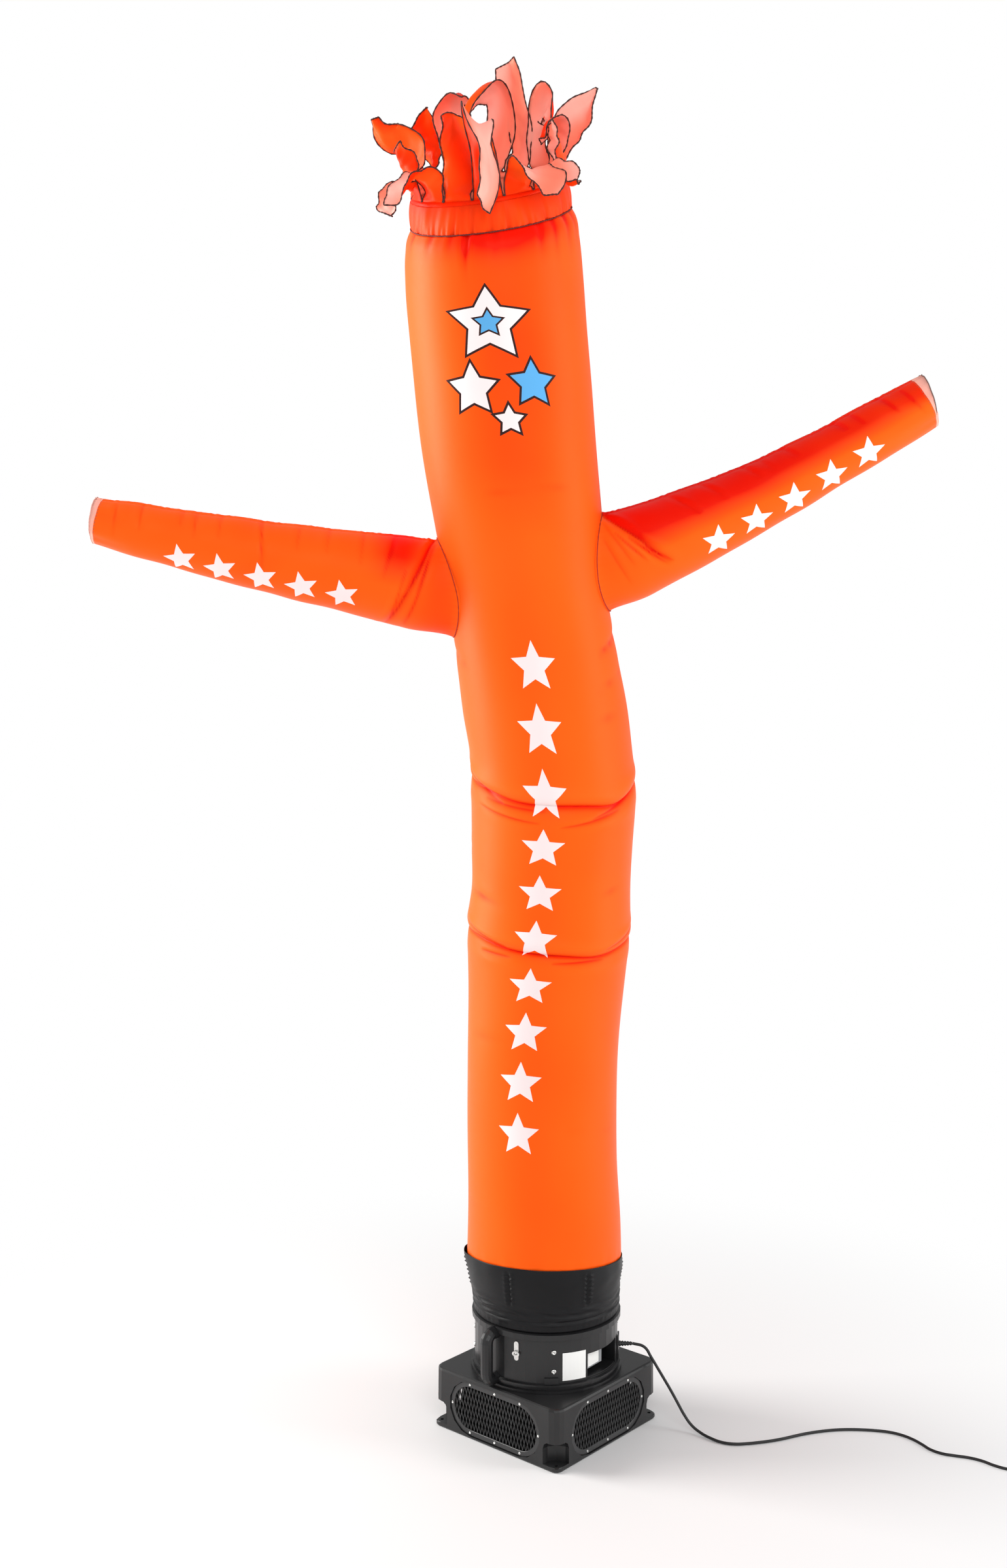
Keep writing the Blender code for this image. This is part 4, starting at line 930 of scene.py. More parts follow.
def head_push(azimuth, z):
    """Gathers and darts that run down from the head seam and fade."""
    below = np.maximum(0.0, HEAD_TOP - z)
    push = 0.0020 * gathers(azimuth) * np.exp(-below / 0.022)
    for middle, depth, wide, length in HEAD_DARTS:
        off = wrapped(azimuth - math.radians(middle)) / math.radians(wide)
        fade = np.exp(-(below / length) ** 1.5)
        push -= depth * fade * np.exp(-np.sqrt(off * off + 0.05))
        push += 0.35 * depth * fade * np.exp(-(np.abs(off) - 2.4) ** 2)
    return push


def seam_tube(name, points, radius, material, slot, bumps=0.15, closed=True):
    item = mesh_object(name, *tube(points, radius, 6, bumps, closed), material, 80)
    return finish_piece(item, slot)


def body_painted_shading(azimuth, z):
    """Painted shade under the head seam and on the front between the arms, and painted light on the left
    side.
    """
    side = np.degrees(azimuth)
    painted_shading = -0.40 * bell(HEAD_TOP - z, 0.0, 0.045) * (0.25 + 0.75 * bell(side, 14.0, 46.0))
    painted_shading -= 0.16 * bell(side, 8.0, 34.0) * np.clip((z - 1.95) / 0.15, 0, 1)
    painted_shading += 0.12 * bell(side, -90.0, 40.0)
    return painted_shading


def left_arm_painted_shading(azimuth, out):
    # Painted shade on the upper side near the root, and a little all round nearer the body.
    up = np.clip(1.4 * (np.sin(azimuth) + 0.20), 0, 1)
    return -0.40 * bell(out, 0.325, 0.050) * up - 0.14 * bell(out, 0.22, 0.05)


def right_arm_painted_shading(azimuth, out):
    # Painted shade on the upper side beyond the root crease, less towards the tip, and painted light on the
    # underside.
    up = np.clip(1.7 * (np.sin(azimuth) + 0.22), 0, 1)
    line = 0.184 - 0.054 * (azimuth - math.radians(24.0))
    beyond = np.clip((out - line) / 0.006, 0, 1)
    return -0.46 * up * beyond * np.clip(1.22 - 0.7 * out, 0, 1) + 0.08 * np.clip(-np.sin(azimuth), 0, 1)


def body_material():
    material, shader, tint = cloth_material("orange_nylon_body", ORANGE, PAINTED_SHADE_RED, PAINTED_LIGHT_ORANGE)
    u, v = flat_coordinates()
    row = star_row(u, v, 0.700, 0.1125, 10, -0.056, 0.046, 0.048)
    layers = [(row, PRINT_WHITE)]
    for x, y, radius, colour in ((-0.018, 2.385, 0.082, PRINT_WHITE), (0.060, 2.262, 0.047, PRINT_BLUE),
                                 (-0.062, 2.250, 0.052, PRINT_WHITE), (0.006, 2.188, 0.030, PRINT_WHITE)):
        edge = star_edge(u - x, v - y, inner=0.52)
        layers += [(edge.less(radius + 0.010), PRINT_DARK), (edge.less(radius), colour)]
        if radius > 0.08:
            layers += [(edge.less(0.036), PRINT_DARK), (edge.less(0.028), PRINT_BLUE)]
    link(printed(tint, layers), shader.inputs["Base Color"])
    return material


def grids_around(z, columns):
    """Grids of height and azimuth for a sheet that closes around."""
    return np.meshgrid(z, np.linspace(-math.pi, math.pi, columns, endpoint=False), indexing="ij")


def flat_around(rings, grid_z, grid_a):
    """Such a sheet laid flat: the way around it at each height, and the height."""
    edges = np.append(grid_a[0], math.pi)
    z = grid_z[:, :1]
    return np.stack([edges * table_at(rings, z, 3), np.broadcast_to(z, (len(z), len(edges)))], -1)


def make_body():
    z = spread(0.384, HEAD_TOP, 246, [(1.449, 0.034, 7.0), (1.116, 0.030, 7.0), (2.565, 0.05, 3.0),
                                      (1.86, 0.16, 0.8)])
    grid_z, grid_a = grids_around(z, BODY_COLUMNS)
    push, crease_shade = folds_at(BODY_FOLDS, grid_a, grid_z, BODY_BENDS)
    darts = head_push(grid_a, grid_z)
    push += darts
    # Painted shade in the darts.
    crease_shade += 0.9 * np.clip(-darts / 0.005, 0, 1)
    push += 0.0012 * np.sin(3 * grid_a + 4 * grid_z + 1.0) * np.sin(17 * grid_z + 0.5 * grid_a)
    low = np.clip((grid_z - 0.39) / 0.05, 0, 1)
    push += 0.0005 * (1 - low) * wave(grid_a, [(23, 0.3, 0.6), (37, 1.1, 0.4)])
    points = ring_grid(BODY_RINGS, grid_z, grid_a, push)
    inside = np.zeros(points.shape[:2], bool)
    for rows, side in ((LEFT_ARM, -1), (RIGHT_ARM, 1)):
        out = side * points[..., 0]
        middle, back, up = arm_frame(rows, side, out)
        reach = table_at(rows, out, 3)
        high = ((points - middle) * up).sum(axis=-1) / (reach - ARM_OVERLAP)
        deep = ((points - middle) * back).sum(axis=-1) / (reach - drawn_in(rows, out) - ARM_OVERLAP)
        inside |= (high ** 2 + deep ** 2 < 1) & (out > rows[0][0] + 0.02)
    inner = inside_material("orange_nylon")
    flat = flat_around(BODY_RINGS, grid_z, grid_a)
    item = grid_object("body_cloth", points, [body_material(), inner], flat,
                       fold_painted_shading(push, body_painted_shading(grid_a, grid_z) - FOLD_PAINTED_SHADE * crease_shade), drop=inside)
    finish_piece(item, "orange_nylon", "body_tube")


def arm_material(name, first, pitch, middle, lean, end):
    material, shader, tint = cloth_material(name, ORANGE, PAINTED_SHADE_RED, PAINTED_LIGHT_ORANGE)
    u, v = flat_coordinates()
    row = star_row(u, v, first, pitch, 5, middle, lean, 0.036)
    hem = v.more(end - 0.010)
    stitch = (v - (end - 0.012)).abs().less(0.0008) * (u * 900.0).math("SINE").more(-0.3)
    layers = [(row, PRINT_WHITE), (hem, (0.90, 0.42, 0.34)), (stitch, (0.45, 0.10, 0.05))]
    link(printed(tint, layers), shader.inputs["Base Color"])
    return material


def make_arm(name, rows, side, folds, painted_shading, stars, seam_material, serge):
    azimuth = -side * np.linspace(-math.pi, math.pi, ARM_COLUMNS, endpoint=False)
    root = arm_roots(rows, side, azimuth)
    end = rows[-1][0]
    share = spread(0, 1, 200, [(0.0, 0.12, 1.5)])
    out = (root - 0.006)[None, :] * (1 - share[:, None]) + end * share[:, None]
    grid_a = np.broadcast_to(azimuth, out.shape)
    push, crease_shade = folds_at(folds, grid_a, out)
    radius = table_at(rows, out, 3)
    top = wrapped(grid_a - math.radians(78.0)) * radius
    near = np.exp(-(top / 0.013) ** 2)
    push += 0.0026 * np.exp(-(top / 0.0028) ** 2) - 0.0014 * np.exp(-((top + 0.0065) / 0.003) ** 2)
    push += 0.0004 * near * (np.sin(out * 520) + np.sin(out * 333 + 1.0)) * np.sin(out * 29)
    push += 0.0010 * np.sin(out * 46 + 2 * grid_a) * np.sin(grid_a * 2 + 9 * out)
    beyond = out - root[None, :]
    push += 0.0045 * np.exp(-np.maximum(0, beyond) / 0.010)
    push += 0.0012 * np.exp(-(np.maximum(0, beyond) / 0.020) ** 2) * np.cos(grid_a * 41) * (beyond > 0)
    slack = np.clip((out - end + 0.09) / 0.09, 0, 1)
    push += 0.0020 * slack * wave(grid_a, [(3, 0.4, 1.0), (5, 1.9, 0.8), (11, 0.2, 0.35)])
    points = arm_grid(rows, side, out, grid_a, push)
    steps = np.linspace(0.0, end, 400)
    walked = walked_along(arm_frame(rows, side, steps)[0])
    along = np.interp(out, steps, walked)
    edges = np.concatenate([azimuth, [-azimuth[0]]])
    around_edge = edges[None, :] * table_at(rows, out[:, :1], 3)
    flat = np.stack([around_edge, np.concatenate([along, along[:, :1]], 1)], -1)
    inner = inside_material(name)
    first, pitch, shift, lean = stars
    outer = arm_material(name + "_nylon", np.interp(first, steps, walked), pitch, shift, lean, walked[-1])
    item = grid_object(name + "_cloth", points, [outer, inner], flat,
                       fold_painted_shading(push, painted_shading(grid_a, out) - FOLD_PAINTED_SHADE * crease_shade))
    finish_piece(item, "orange_nylon", name)
    seam = arm_grid(rows, side, root + 0.0015, azimuth, np.full(ARM_COLUMNS, 0.0050))
    dense = smooth_path(list(seam) + [seam[0]], 361)[:-1]
    line = seam_tube(name + "_seam", dense, 0.0009, seam_material, "orange_nylon")
    rim = arm_grid(rows, side, np.full(ARM_COLUMNS, end), azimuth, push[-1])
    dense = smooth_path(list(rim) + [rim[0]], 301)[:-1]
    hem = seam_tube(name + "_serging", dense, 0.0012, serge, "orange_nylon", 0.25)
    mean = float(table_at(rows, np.linspace(root.mean(), end, 50), 3).mean())


def make_arms():
    red = thread_material("seam_thread_red", (0.42, 0.020, 0.004), 0.7)
    brown = thread_material("serging_brown", (0.22, 0.13, 0.11), 0.8)
    pale = thread_material("serging_pale", (0.80, 0.50, 0.44), 0.8)
    make_arm("arm_left", LEFT_ARM, -1, LEFT_FOLDS, left_arm_painted_shading, LEFT_STARS, red, pale)
    make_arm("arm_right", RIGHT_ARM, 1, RIGHT_FOLDS, right_arm_painted_shading, RIGHT_STARS, red, brown)


def thread_material(name, colour, rough):
    """Thread and tape: a plain colour with a fine thread texture."""
    material, shader = new_material(name)
    fine = noise(1500.0)
    darker = tuple(0.6 * c for c in colour)
    link(ramp(fine, [(0.3, darker), (0.7, colour)]), shader.inputs["Base Color"])
    link(bump(fine, 0.6, 0.0005), shader.inputs["Normal"])
    shader.inputs["Roughness"].default_value = rough
    return material


def cuff_push(azimuth, z):
    """The cuff's six stitched tucks, the slack cloth between them and its hem on the drum."""
    step = TAU / 6
    off = (azimuth + math.radians(28.5) + step / 2) % step - step / 2
    up = np.clip((z - 0.318) / 0.010, 0, 1) * np.clip((0.385 - z) / 0.010, 0, 1)
    stitch = np.sin(z * 720)
    wide = np.radians(0.75) + np.radians(0.35) * stitch
    push = -0.0066 * up * np.exp(-np.abs(off) / wide)
    push += 0.0012 * up * np.exp(-((np.abs(off) - np.radians(2.6)) / np.radians(1.5)) ** 2)
    push += 0.0036 * up * np.exp(-((off - np.radians(2.0)) / np.radians(1.8)) ** 2) * stitch
    push -= 0.0020 * up * np.exp(-((off + np.radians(1.6)) / np.radians(1.8)) ** 2) * np.sin(z * 720 + 1.3)
    slack = np.exp(-((z - 0.3070) / 0.016) ** 2)
    sag = z + 0.0035 * np.sin(3 * azimuth + 0.6)
    push += 0.0020 * slack * np.sin(sag * 420 + 1.5 * np.sin(2 * azimuth)) * (0.6 + 0.4 * np.sin(5 * azimuth))
    push += 0.0010 * slack * wave(azimuth + 0.3 * np.sin(z * 120), [(11, 0.2, 0.6), (23, 1.1, 0.5)])
    hem = np.exp(-((z - 0.2780) / 0.007) ** 2)
    push += 0.0007 * hem * gathers(azimuth) + 0.0005 * hem * wave(azimuth, [(61, 0.0, 0.6), (83, 1.0, 0.4)])
    push += 0.0014 * np.exp(-((z - 0.2860) / 0.0035) ** 2) - 0.0012 * np.exp(-((z - 0.2915) / 0.0018) ** 2)
    push += 0.0009 * np.clip((z - 0.345) / 0.03, 0, 1) * wave(azimuth, [(9, 0.5, 0.6), (19, 2.0, 0.4)])
    push += 0.0060 * bell(z, 0.388, 0.020) * bell(np.degrees(azimuth), -96.0, 22.0)
    puff = np.exp(-((z - 0.340) / 0.030) ** 2)
    push += 0.0008 * puff * wave(azimuth + 0.25 * np.sin(z * 60), [(7, 1.2, 0.6), (13, 0.1, 0.4)])
    return push


def black_cloth_material():
    material, shader = new_material("black_nylon_cuff")
    cloud = noise(14.0)
    stops = [(0.3, (0.0035, 0.0035, 0.0042)), (0.7, (0.0060, 0.0060, 0.0070))]
    link(ramp(cloud, stops), shader.inputs["Base Color"])
    link(weave(0.35), shader.inputs["Normal"])
    link(cloud * 0.10 + 0.38, shader.inputs["Roughness"])
    shader.inputs["Specular IOR Level"].default_value = 0.20
    return material


def make_cuff():
    grid_z, grid_a = grids_around(spread(0.2695, 0.3915, 62, [(0.290, 0.012, 1.5)]), FINE_COLUMNS)
    push = cuff_push(grid_a, grid_z) + 0.0008
    points = ring_grid(CUFF_RINGS, np.minimum(grid_z, 0.39), grid_a, push)
    points[..., 2] += np.maximum(0.0, grid_z - 0.39)
    flat = flat_around(CUFF_RINGS, grid_z, grid_a)
    item = grid_object("cuff_cloth", points, [black_cloth_material()], flat, fold_painted_shading(push))
    finish_piece(item, "black_nylon", "cuff")


def make_band():
    z = np.linspace(BAND_RINGS[0][0] - 0.0012, BAND_RINGS[-1][0] + 0.0014, 44)
    grid_z, grid_a = grids_around(z, FINE_COLUMNS)
    share = (grid_z - z[0]) / (z[-1] - z[0])
    lean = grid_a + 0.10 * np.sin(2 * grid_a) * share
    pleat = np.maximum(0.0, np.cos(23 * lean + 1.5 * np.sin(3 * lean))) ** 3
    push = 0.0026 * gathers(lean) * (0.35 + 0.65 * np.sin(math.pi * share))
    push -= 0.0040 * pleat * np.clip(1.1 - share, 0, 1) * (0.4 + 0.6 * np.sin(5 * lean + 1.0) ** 2)
    push += 0.0032 * np.sin(math.pi * share) ** 0.7
    push += 0.0012 * wave(lean, [(71, 0.3, 0.6), (103, 1.4, 0.4)]) * np.exp(-((share - 0.05) / 0.25) ** 2)
    points = ring_grid(BAND_RINGS, grid_z, grid_a, push)
    # The band's folds get painted shade in dark red and painted light in orange, and its top a painted shadow
    # under the streamers.
    outer = cloth_material("orange_nylon_band", (0.95, 0.050, 0.004), (0.36, 0.006, 0.001), ORANGE)[0]
    inner = inside_material("orange_nylon_band")
    item = grid_object("band_cloth", points, [outer, inner], flat_around(BAND_RINGS, grid_z, grid_a),
                       fold_painted_shading(push * 1.6 - 0.002, -0.14 * share ** 2))
    finish_piece(item, "orange_nylon", "crown_band")
    thread = thread_material("seam_thread_dark", (0.16, 0.012, 0.008), 0.75)
    azimuth = np.linspace(0, TAU, 360, endpoint=False)
    height = np.full(len(azimuth), BAND_RINGS[0][0] - 0.0004)
    ring = ring_grid(BAND_RINGS, height, azimuth, 0.0012 + 0.0014 * gathers(azimuth))
    line = seam_tube("head_seam", ring, 0.0013, thread, "orange_nylon", 0.25)


# The streamers: a narrow ring of cloth above the band carries sixteen strips
HAIR_CENTRE = (-0.1245, -0.183, 2.6453)
HAIR_RADIUS = 0.1570
HAIR_SLOPES = (0.14, 0.41)
HAIR_HEIGHT = 0.010
HAIR_HALF_ANGLE = 10.7
ROOT_WIDER = 1.2
STREAMER_UPRIGHT = 0.012
STREAMER_STEPS = 34
STREAMER_CELLS = np.linspace(-1, 1, 13)
STREAMER_RING = 192
TIP_SLANT = 0.017
EDGING_RADIUS = 0.0015

# Each streamer: azimuth, twist at the tip in degrees, widths at even steps from root to tip as shares
# of the root's, and the points its middle passes through, measured from its root
STREAMERS = [
    ("curved_tall", 180.0, 15.0, (1.0, 1.15, 1.2, 1.0, 0.8),
     [(0.012, -0.008, 0.034), (0.022, -0.022, 0.088), (0.02, -0.045, 0.128), (0.008, -0.078, 0.146),
      (-0.014, -0.112, 0.136), (-0.036, -0.142, 0.104), (-0.056, -0.16, 0.06)]),
    ("tallest", 157.5, 8.0, (1.0, 1.0, 1.0, 0.95, 1.0),
     [(0.01, -0.003, 0.032), (0.008, -0.01, 0.085), (-0.006, -0.018, 0.14), (-0.018, -0.025, 0.18),
      (-0.025, -0.029, 0.207)]),
    ("pink_fold", 135.0, -20.0, (1.0, 1.3, 1.6, 1.5, 0.3),
     [(-0.004, -0.004, 0.03), (-0.004, -0.014, 0.074), (0.002, -0.03, 0.112), (0.012, -0.054, 0.118),
      (0.018, -0.078, 0.086), (0.01, -0.088, 0.046)]),
    ("far_right", 112.5, 40.0, (1.0, 1.2, 1.6, 1.0, 0.15),
     [(0.008, 0.0, 0.03), (0.022, 0.006, 0.072), (0.044, 0.01, 0.12), (0.076, 0.01, 0.166)]),
    ("right_loop", 90.0, 60.0, (1.0, 1.3, 1.4, 1.1, 0.5),
     [(-0.002, -0.004, 0.034), (-0.006, -0.012, 0.07), (-0.018, -0.026, 0.096), (-0.04, -0.04, 0.088),
      (-0.052, -0.05, 0.052)]),
    ("side_small", 67.5, 50.0, (1.0, 1.3, 1.3, 0.6),
     [(-0.002, -0.01, 0.034), (-0.006, -0.018, 0.072), (-0.018, -0.026, 0.104)]),
    ("right_flap", 45.0, -10.0, (1.0, 1.1, 1.1, 0.5),
     [(0.002, -0.014, 0.024), (0.014, -0.03, 0.026), (0.034, -0.048, 0.01), (0.05, -0.062, -0.01),
      (0.064, -0.07, -0.012)]),
    ("front_right", 22.5, 16.0, (1.0, 1.2, 1.5, 1.6, 0.8),
     [(0.002, -0.006, 0.024), (0.012, -0.026, 0.036), (0.03, -0.052, 0.026), (0.046, -0.072, 0.002),
      (0.052, -0.082, -0.024)]),
    ("front_hang", 0.0, -45.0, (1.0, 1.0, 1.1, 1.3, 1.1, 1.2, 0.9),
     [(-0.004, 0.002, 0.03), (-0.012, 0.004, 0.084), (-0.024, -0.006, 0.128), (-0.026, -0.032, 0.14),
      (-0.02, -0.058, 0.104), (-0.006, -0.066, 0.054), (-0.004, -0.07, 0.006), (-0.014, -0.074, -0.03)]),
    ("front_tall", -22.5, 30.0, (1.0, 1.2, 1.3, 1.2, 0.9),
     [(0.0, 0.008, 0.04), (0.0, 0.024, 0.092), (-0.004, 0.044, 0.144), (-0.01, 0.066, 0.182)]),
    ("pale_flap", -45.0, 12.0, (1.0, 1.4, 1.7, 1.7, 1.3),
     [(-0.008, -0.012, 0.028), (-0.022, -0.03, 0.036), (-0.042, -0.048, 0.024), (-0.056, -0.06, 0.002),
      (-0.062, -0.066, -0.012)]),
    ("left_hang", -67.5, -20.0, (1.0, 1.1, 1.2, 0.9),
     [(-0.008, -0.004, 0.02), (-0.028, -0.012, 0.022), (-0.046, -0.02, -0.002), (-0.054, -0.024, -0.034)]),
    ("left_strip", -90.0, 30.0, (1.0, 1.1, 1.1, 0.8),
     [(-0.006, -0.002, 0.03), (-0.014, -0.006, 0.062), (-0.032, -0.012, 0.09)]),
    ("left_curl", -112.5, 70.0, (1.0, 1.2, 1.5, 1.5, 0.9, 0.4),
     [(-0.002, 0.002, 0.034), (-0.008, 0.002, 0.066), (-0.03, -0.002, 0.09), (-0.058, -0.004, 0.098),
      (-0.08, -0.006, 0.116), (-0.092, -0.008, 0.14)]),
    ("pointed", -135.0, 180.0, (1.0, 0.9, 0.8, 1.0, 1.5, 1.4, 0.7, 0.05),
     [(-0.008, -0.002, 0.044), (-0.014, -0.004, 0.082), (-0.018, -0.006, 0.118), (-0.02, -0.008, 0.152)]),
    ("left_tall", -157.5, -15.0, (1.0, 1.3, 1.5, 1.4, 0.8),
     [(-0.008, -0.006, 0.038), (-0.02, -0.02, 0.086), (-0.02, -0.044, 0.128), (-0.006, -0.07, 0.146),
      (0.014, -0.086, 0.138)]),
]


def hair_point(azimuth, lift):
    """A point on the streamers' ring, which slopes as the head seam does."""
    angle = FRONT + math.radians(azimuth)
    x = HAIR_RADIUS * math.cos(angle)
    y = HAIR_RADIUS * math.sin(angle)
    return Vector(HAIR_CENTRE) + Vector((x, y, HAIR_SLOPES[0] * x + HAIR_SLOPES[1] * y + lift))


def streamer_grid(azimuth, twist, widths, points):
    """A strip's grid of points, row by row from its root on the ring to its tip."""
    arc = [hair_point(azimuth + c * HAIR_HALF_ANGLE, HAIR_HEIGHT) for c in STREAMER_CELLS]
    left, right = arc[0], arc[-1]
    middle = (left + right) / 2
    across = (right - left).normalized()
    wide = (right - left).length / 2
    upright = Vector((-HAIR_SLOPES[0], -HAIR_SLOPES[1], 1.0)).normalized()
    start = [middle, middle + upright * STREAMER_UPRIGHT]
    path = smooth_path(start + [middle + Vector(p) for p in points], STREAMER_STEPS)
    bow = [arc[i] - (middle + across * wide * c) for i, c in enumerate(STREAMER_CELLS)]
    rows = [arc]
    phase = azimuth * 0.37
    for i in range(1, STREAMER_STEPS):
        along = (path[min(STREAMER_STEPS - 1, i + 1)] - path[i - 1]).normalized()
        across = (across - along * across.dot(along)).normalized()
        share = i / (STREAMER_STEPS - 1)
        turn = math.radians(twist) * min(1.0, 1.5 * share)
        side = across * math.cos(turn) + along.cross(across) * math.sin(turn)
        normal = along.cross(side).normalized()
        half = wide * float(np.interp(share, np.linspace(0, 1, len(widths)), widths)) / ROOT_WIDER
        keep = max(0.0, 1 - share * 4) ** 2
        half += wide * (1 - 1 / ROOT_WIDER) * keep ** 2
        half *= 1 + 0.10 * (1 - keep) * math.sin(15 * share + phase)
        curl = (1 - keep) * half * (0.16 + 0.12 * math.sin(5 * share + phase))
        crease = 0.5 * math.sin(phase + 2 * share)
        slant = TIP_SLANT * math.sin(1.7 * phase + 0.8) * max(0.0, (share - 0.6) / 0.4) ** 2
        slant *= min(1.0, half / wide) ** 2
        row = []
        for c, bend in zip(STREAMER_CELLS, bow):
            ripple = 0.0016 * (1 - keep) * math.sin(9 * share + 4 * c + phase)
            fine = 0.0007 * math.sin(31 * share - 5 * c + 2 * phase)
            folded = 0.36 * (1 - keep) * half * abs(c - crease)
            edge = 0.0022 * (1 - keep) * abs(c) ** 3 * math.sin(23 * share + 3 * phase + 2 * c)
            lift = folded + edge + ripple + fine - curl * (1 - c * c)
            row.append(path[i] + side * half * c + along * slant * c + bend * keep + normal * lift)
        rows.append(row)
    return rows


def streamer_sheet(grids):
    """The strips and their ring as one mesh, its painted light and shade, the strips' area and the longest
    one's length.
    """
    verts = []
    faces = []
    uvs = []
    painted_shading_tints = []
    area = 0.0
    longest = 0.0
    for k, grid in enumerate(grids):
        start = len(verts)
        phase = 2.4 * k
        rows, columns = grid.shape[:2]
        verts += grid.reshape(-1, 3).tolist()
        down = np.linalg.norm(np.diff(grid[:, columns // 2], axis=0), axis=1)
        walked = walked_along(grid[:, columns // 2])
        longest = max(longest, float(walked[-1]))
        half = np.linalg.norm(grid[:, -1] - grid[:, 0], axis=1) / 2
        area += float((down * (half[1:] + half[:-1])).sum())
        for i in range(rows):
            share = i / (rows - 1)
            for c in STREAMER_CELLS:
                uvs.append((half[i] * c, walked[i]))
                # Painted highlights and shade in waves along each strip.
                painted_light_wave = 0.18 + 0.32 * math.sin(4.5 * share + 1.6 * c + phase)
                painted_shading_tints.append(0.5 + min(1.0, 3 * share) * painted_light_wave)
        for i in range(rows - 1):
            for a in range(start + i * columns, start + (i + 1) * columns - 1):
                faces.append((a, a + 1, a + columns + 1, a + columns))
    start = len(verts)
    for lift in (-0.0015, 0.004, HAIR_HEIGHT):
        for i in range(STREAMER_RING):
            verts.append(tuple(hair_point(360 * i / STREAMER_RING, lift)))
            uvs.append((TAU * HAIR_RADIUS * i / STREAMER_RING, lift))
            # Painted shade on the ring under the strips.
            painted_shading_tints.append(0.30)
    faces += [tuple(start + k for k in face) for face in ring_faces(3, STREAMER_RING)]
    mesh = bpy.data.meshes.new("streamer_cloth")
    mesh.from_pydata(verts, [], faces)
    layer = mesh.uv_layers.new(name="flat")
    for loop in mesh.loops:
        layer.data[loop.index].uv = uvs[loop.vertex_index]
    return mesh, painted_shading_tints, area, longest


def streamer_edging(grids, azimuths, thread):
    """The edging along every strip's sides and tip, and across the ring between two strips."""
    shapes = []
    for k, grid in enumerate(grids):
        following = grids[(k + 1) % len(grids)]
        first = azimuths[k] + HAIR_HALF_ANGLE
        last = azimuths[(k + 1) % len(grids)] - HAIR_HALF_ANGLE + (360 if k == len(grids) - 1 else 0)
        gap = [hair_point(first + (last - first) * t, HAIR_HEIGHT) for t in (0.25, 0.5, 0.75)]
        shapes.append(tube(list(grid[::-1, -1]) + gap + list(following[:, 0]), EDGING_RADIUS, 6, 0.25))
        shapes.append(tube(list(grid[-1]), EDGING_RADIUS, 6, 0.25))
    edging = mesh_object("streamer_edging", *join_shapes(shapes), thread, 80)
    finish_piece(edging, "orange_nylon")
    return edging


def make_streamers():
    # In both, the deep colour is painted shade and the pale colour painted light; the inside also gets a
    # painted glow.
    outer = cloth_material("orange_nylon_streamers", (0.98, 0.050, 0.003), PAINTED_SHADE_RED, (1.0, 0.12, 0.012),
                           0.34, 0.30)[0]
    painted_shade_pink, painted_highlight_pink = (0.98, 0.24, 0.13), (1.0, 0.66, 0.56)
    inner = cloth_material("streamer_inside", (1.0, 0.40, 0.27), painted_shade_pink, painted_highlight_pink, 0.34, 0.45, 0.22)[0]
    thread = thread_material("overlock_brown", (0.070, 0.020, 0.015), 0.85)
    order = sorted(STREAMERS, key=lambda entry: entry[1])
    grids = [np.array(streamer_grid(*entry[1:])) for entry in order]
    mesh, painted_shading_tints, area, longest = streamer_sheet(grids)
    item = cloth_object("streamer_cloth", mesh, (outer, inner), painted_shading_tints)
    finish_piece(item, "orange_nylon", "streamers")
    edging = streamer_edging(grids, [entry[1] for entry in order], thread)
    ring_height = HAIR_HEIGHT + 0.0015
    area += TAU * HAIR_RADIUS * ring_height
    longest + ring_height


make_body()
make_arms()
make_cuff()
make_band()
make_streamers()


# The blower's four grilles: a flat oblong rim with crossed strands behind its opening
HOUSING_SIDE = 0.356
HOUSING_YAW = math.radians(3.92 - 45.0)
GRILLE_MIDDLE = 0.0660
GRILLE_SIZE = (0.257, 0.12)
OPENING_SIZE = (0.236, 0.097)
GRILLE_FRONT = -0.0032
GRILLE_BACK = -0.0067
DIAMOND = (0.00925, 0.03075)
STRAND_LEAN = DIAMOND[0] / DIAMOND[1]
STRAND_HALF = 0.00095
STRANDS_EACH_WAY = 16
RIM_BEVEL = 0.0007

# The screws' places from the grille's middle, across and up
GRILLE_SCREWS = [(u, v) for v in (0.0545, -0.0545) for u in (-0.0715, 0.0, 0.0715)]
GRILLE_SCREWS += [(-0.1232, 0.0), (0.1232, 0.0)]

# A near-black box inside the housing that paints the shade seen through the grilles: one side's corners, out
# and across, and its lowest and highest points
CORE_SIDE = [(0.16, -0.1), (0.16, 0.1), (0.147, 0.118), (0.132, 0.135)]
CORE_HEIGHTS = (0.0085, 0.1285)
DRUM_SCREW_AZIMUTH = 4.5
DRUM_SCREW_HEIGHTS = (0.183, 0.2255)
ROUND_END_STEPS = 20
UP = Vector((0.0, 0.0, 1.0))

# Screw heads: radius and height
GRILLE_SCREW = (0.0029, 0.0015)
DRUM_SCREW = (0.0052, 0.0026)


def oblong(size, shrink):
    """A flat shape with two straight sides and round ends."""
    radius = size[1] / 2 - shrink
    half = (size[0] - size[1]) / 2
    points = []
    for middle, first in ((half, -90.0), (-half, 90.0)):
        for step in range(ROUND_END_STEPS + 1):
            angle = math.radians(first + 180.0 * step / ROUND_END_STEPS)
            points.append((middle + radius * math.cos(angle), radius * math.sin(angle)))
    return points


def inside_opening(u, v):
    half = (OPENING_SIZE[0] - OPENING_SIZE[1]) / 2
    return math.hypot(max(0.0, abs(u) - half), v) < OPENING_SIZE[1] / 2 + 0.0012


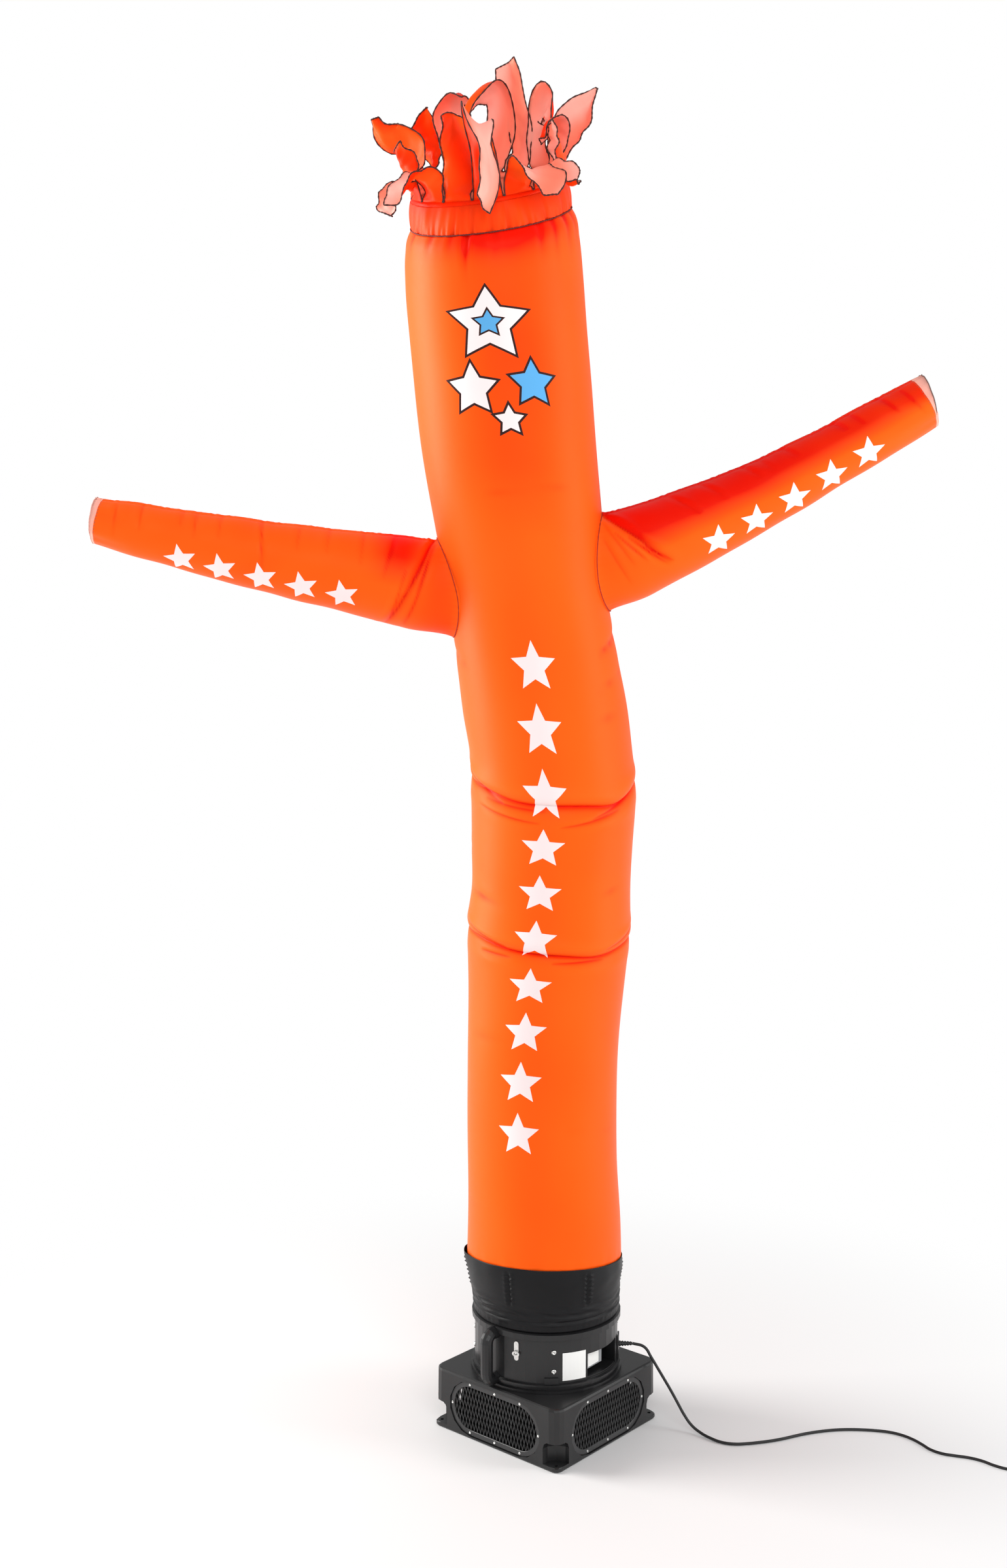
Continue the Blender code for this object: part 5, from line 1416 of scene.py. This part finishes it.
def grille_shapes():
    """The rim and strands of one grille in its own plane, as (across, up, out)."""
    rim = ((0.0, GRILLE_BACK), (0.0, GRILLE_FRONT - RIM_BEVEL), (RIM_BEVEL, GRILLE_FRONT))
    loops = [[(u, v, out) for u, v in oblong(GRILLE_SIZE, shrink)] for shrink, out in rim]
    loops += [[(u, v, out) for u, v in oblong(OPENING_SIZE, -shrink)] for shrink, out in reversed(rim)]
    shapes = [looped(loops)]
    for lean, top, low in ((STRAND_LEAN, GRILLE_FRONT - 0.0004, GRILLE_FRONT - 0.0022),
                           (-STRAND_LEAN, GRILLE_FRONT - 0.0010, GRILLE_FRONT - 0.0028)):
        for k in range(-STRANDS_EACH_WAY, STRANDS_EACH_WAY + 1):
            middle = k * DIAMOND[0]
            steps = [v for v in np.linspace(-0.0500, 0.0500, 401) if inside_opening(middle + lean * v, v)]
            if len(steps) < 12:
                continue
            ends = []
            for v in (steps[0], steps[-1]):
                u = middle + lean * v
                ends.append([(u - STRAND_HALF, v, low), (u + STRAND_HALF, v, low),
                             (u + 0.7 * STRAND_HALF, v, top), (u - 0.7 * STRAND_HALF, v, top)])
            shapes.append(stack(ends))
    return join_shapes(shapes)


def dome(radius, height):
    """A low round screw head with a cross cut in its top, standing on the plane out = 0."""
    rings = []
    for share, rise in ((1.0, 0.0), (1.0, 0.30), (0.90, 0.62), (0.70, 0.85), (0.42, 0.97), (0.18, 1.0)):
        ring = []
        for u, v in disc(radius * share, 24):
            slot = min(abs(u), abs(v)) < 0.13 * radius and math.hypot(u, v) < 0.66 * radius
            ring.append((u, v, height * (rise - (0.45 if slot else 0.0))))
        rings.append(ring)
    return stack(rings)


def facing(angle):
    """The directions out of and across an upright face."""
    out = Vector((math.cos(angle), math.sin(angle), 0.0))
    return out, Vector((-out.y, out.x, 0.0))


def placed(shape, origin, across, out):
    verts, faces = shape
    return [origin + across * u + UP * v + out * w for u, v, w in verts], faces


def make_blower_details():
    coat = plastic_material("black_coated_mesh", (0.026, 0.026, 0.027), (0.042, 0.042, 0.043), 0.30,
                            900.0, 0.1)
    # A near-black matte material for the box of painted shade behind the grilles.
    shade, shader = new_material("painted_shade_inside")
    shader.inputs["Base Color"].default_value = (0.0015, 0.0015, 0.0015, 1.0)
    shader.inputs["Roughness"].default_value = 0.9
    shader.inputs["Specular IOR Level"].default_value = 0.05
    grille = grille_shapes()
    core = []
    for turn in range(4):
        angle = HOUSING_YAW + math.radians(90.0 * turn)
        cosine, sine = math.cos(angle), math.sin(angle)
        core += [(x * cosine - y * sine, x * sine + y * cosine) for x, y in CORE_SIDE]
    rings = [[(x, y, z) for x, y in core] for z in CORE_HEIGHTS]
    finish_piece(mesh_object("painted_shade_box", *stack(rings), shade, 40), "black_plastic")
    screws = []
    for turn, name in enumerate(("grille_front_right", "grille_back_right", "grille_back_left",
                                 "grille_front_left")):
        out, across = facing(HOUSING_YAW + math.radians(90.0 * turn))
        origin = out * (HOUSING_SIDE / 2) + UP * GRILLE_MIDDLE
        item = mesh_object(name + "_mesh", *placed(grille, origin, across, out), coat, 30)
        finish_piece(item, "black_plastic", name)
        for u, v in GRILLE_SCREWS:
            place = origin + across * u + UP * v + out * (GRILLE_FRONT - 0.0001)
            screws.append(placed(dome(*GRILLE_SCREW), place, across, out))
    finish_piece(mesh_object("grille_screws", *join_shapes(screws), ZINC, 40), "zinc_steel")
    screws = []
    for quarter in range(4):
        out, across = facing(FRONT + math.radians(DRUM_SCREW_AZIMUTH + 90.0 * quarter))
        for height in DRUM_SCREW_HEIGHTS:
            place = out * (DRUM_RADIUS + 0.0002) + UP * height
            screws.append(placed(dome(*DRUM_SCREW), place, across, out))
    item = mesh_object("drum_screws", *join_shapes(screws), ZINC, 40)
    finish_piece(item, "zinc_steel", *("drum_screw_%d" % number for number in range(1, 9)))


make_blower_details()


# The hard pieces that keep their own solids

NODE_MATERIALS = {
    PLASTIC: ("housing", "drum", "window_tray", "handle", "drum_tab", "cord_cover"),
    ZINC: ("latch_plate", "latch_staple"),
    GREY: ("control_box",),
    WHITE: ("control_panel", "blank_plate"),
    RUBBER: ("strain_relief",),
}
for material, names in NODE_MATERIALS.items():
    for name in names:
        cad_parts[name].data.materials.clear()
        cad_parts[name].data.materials.append(material)
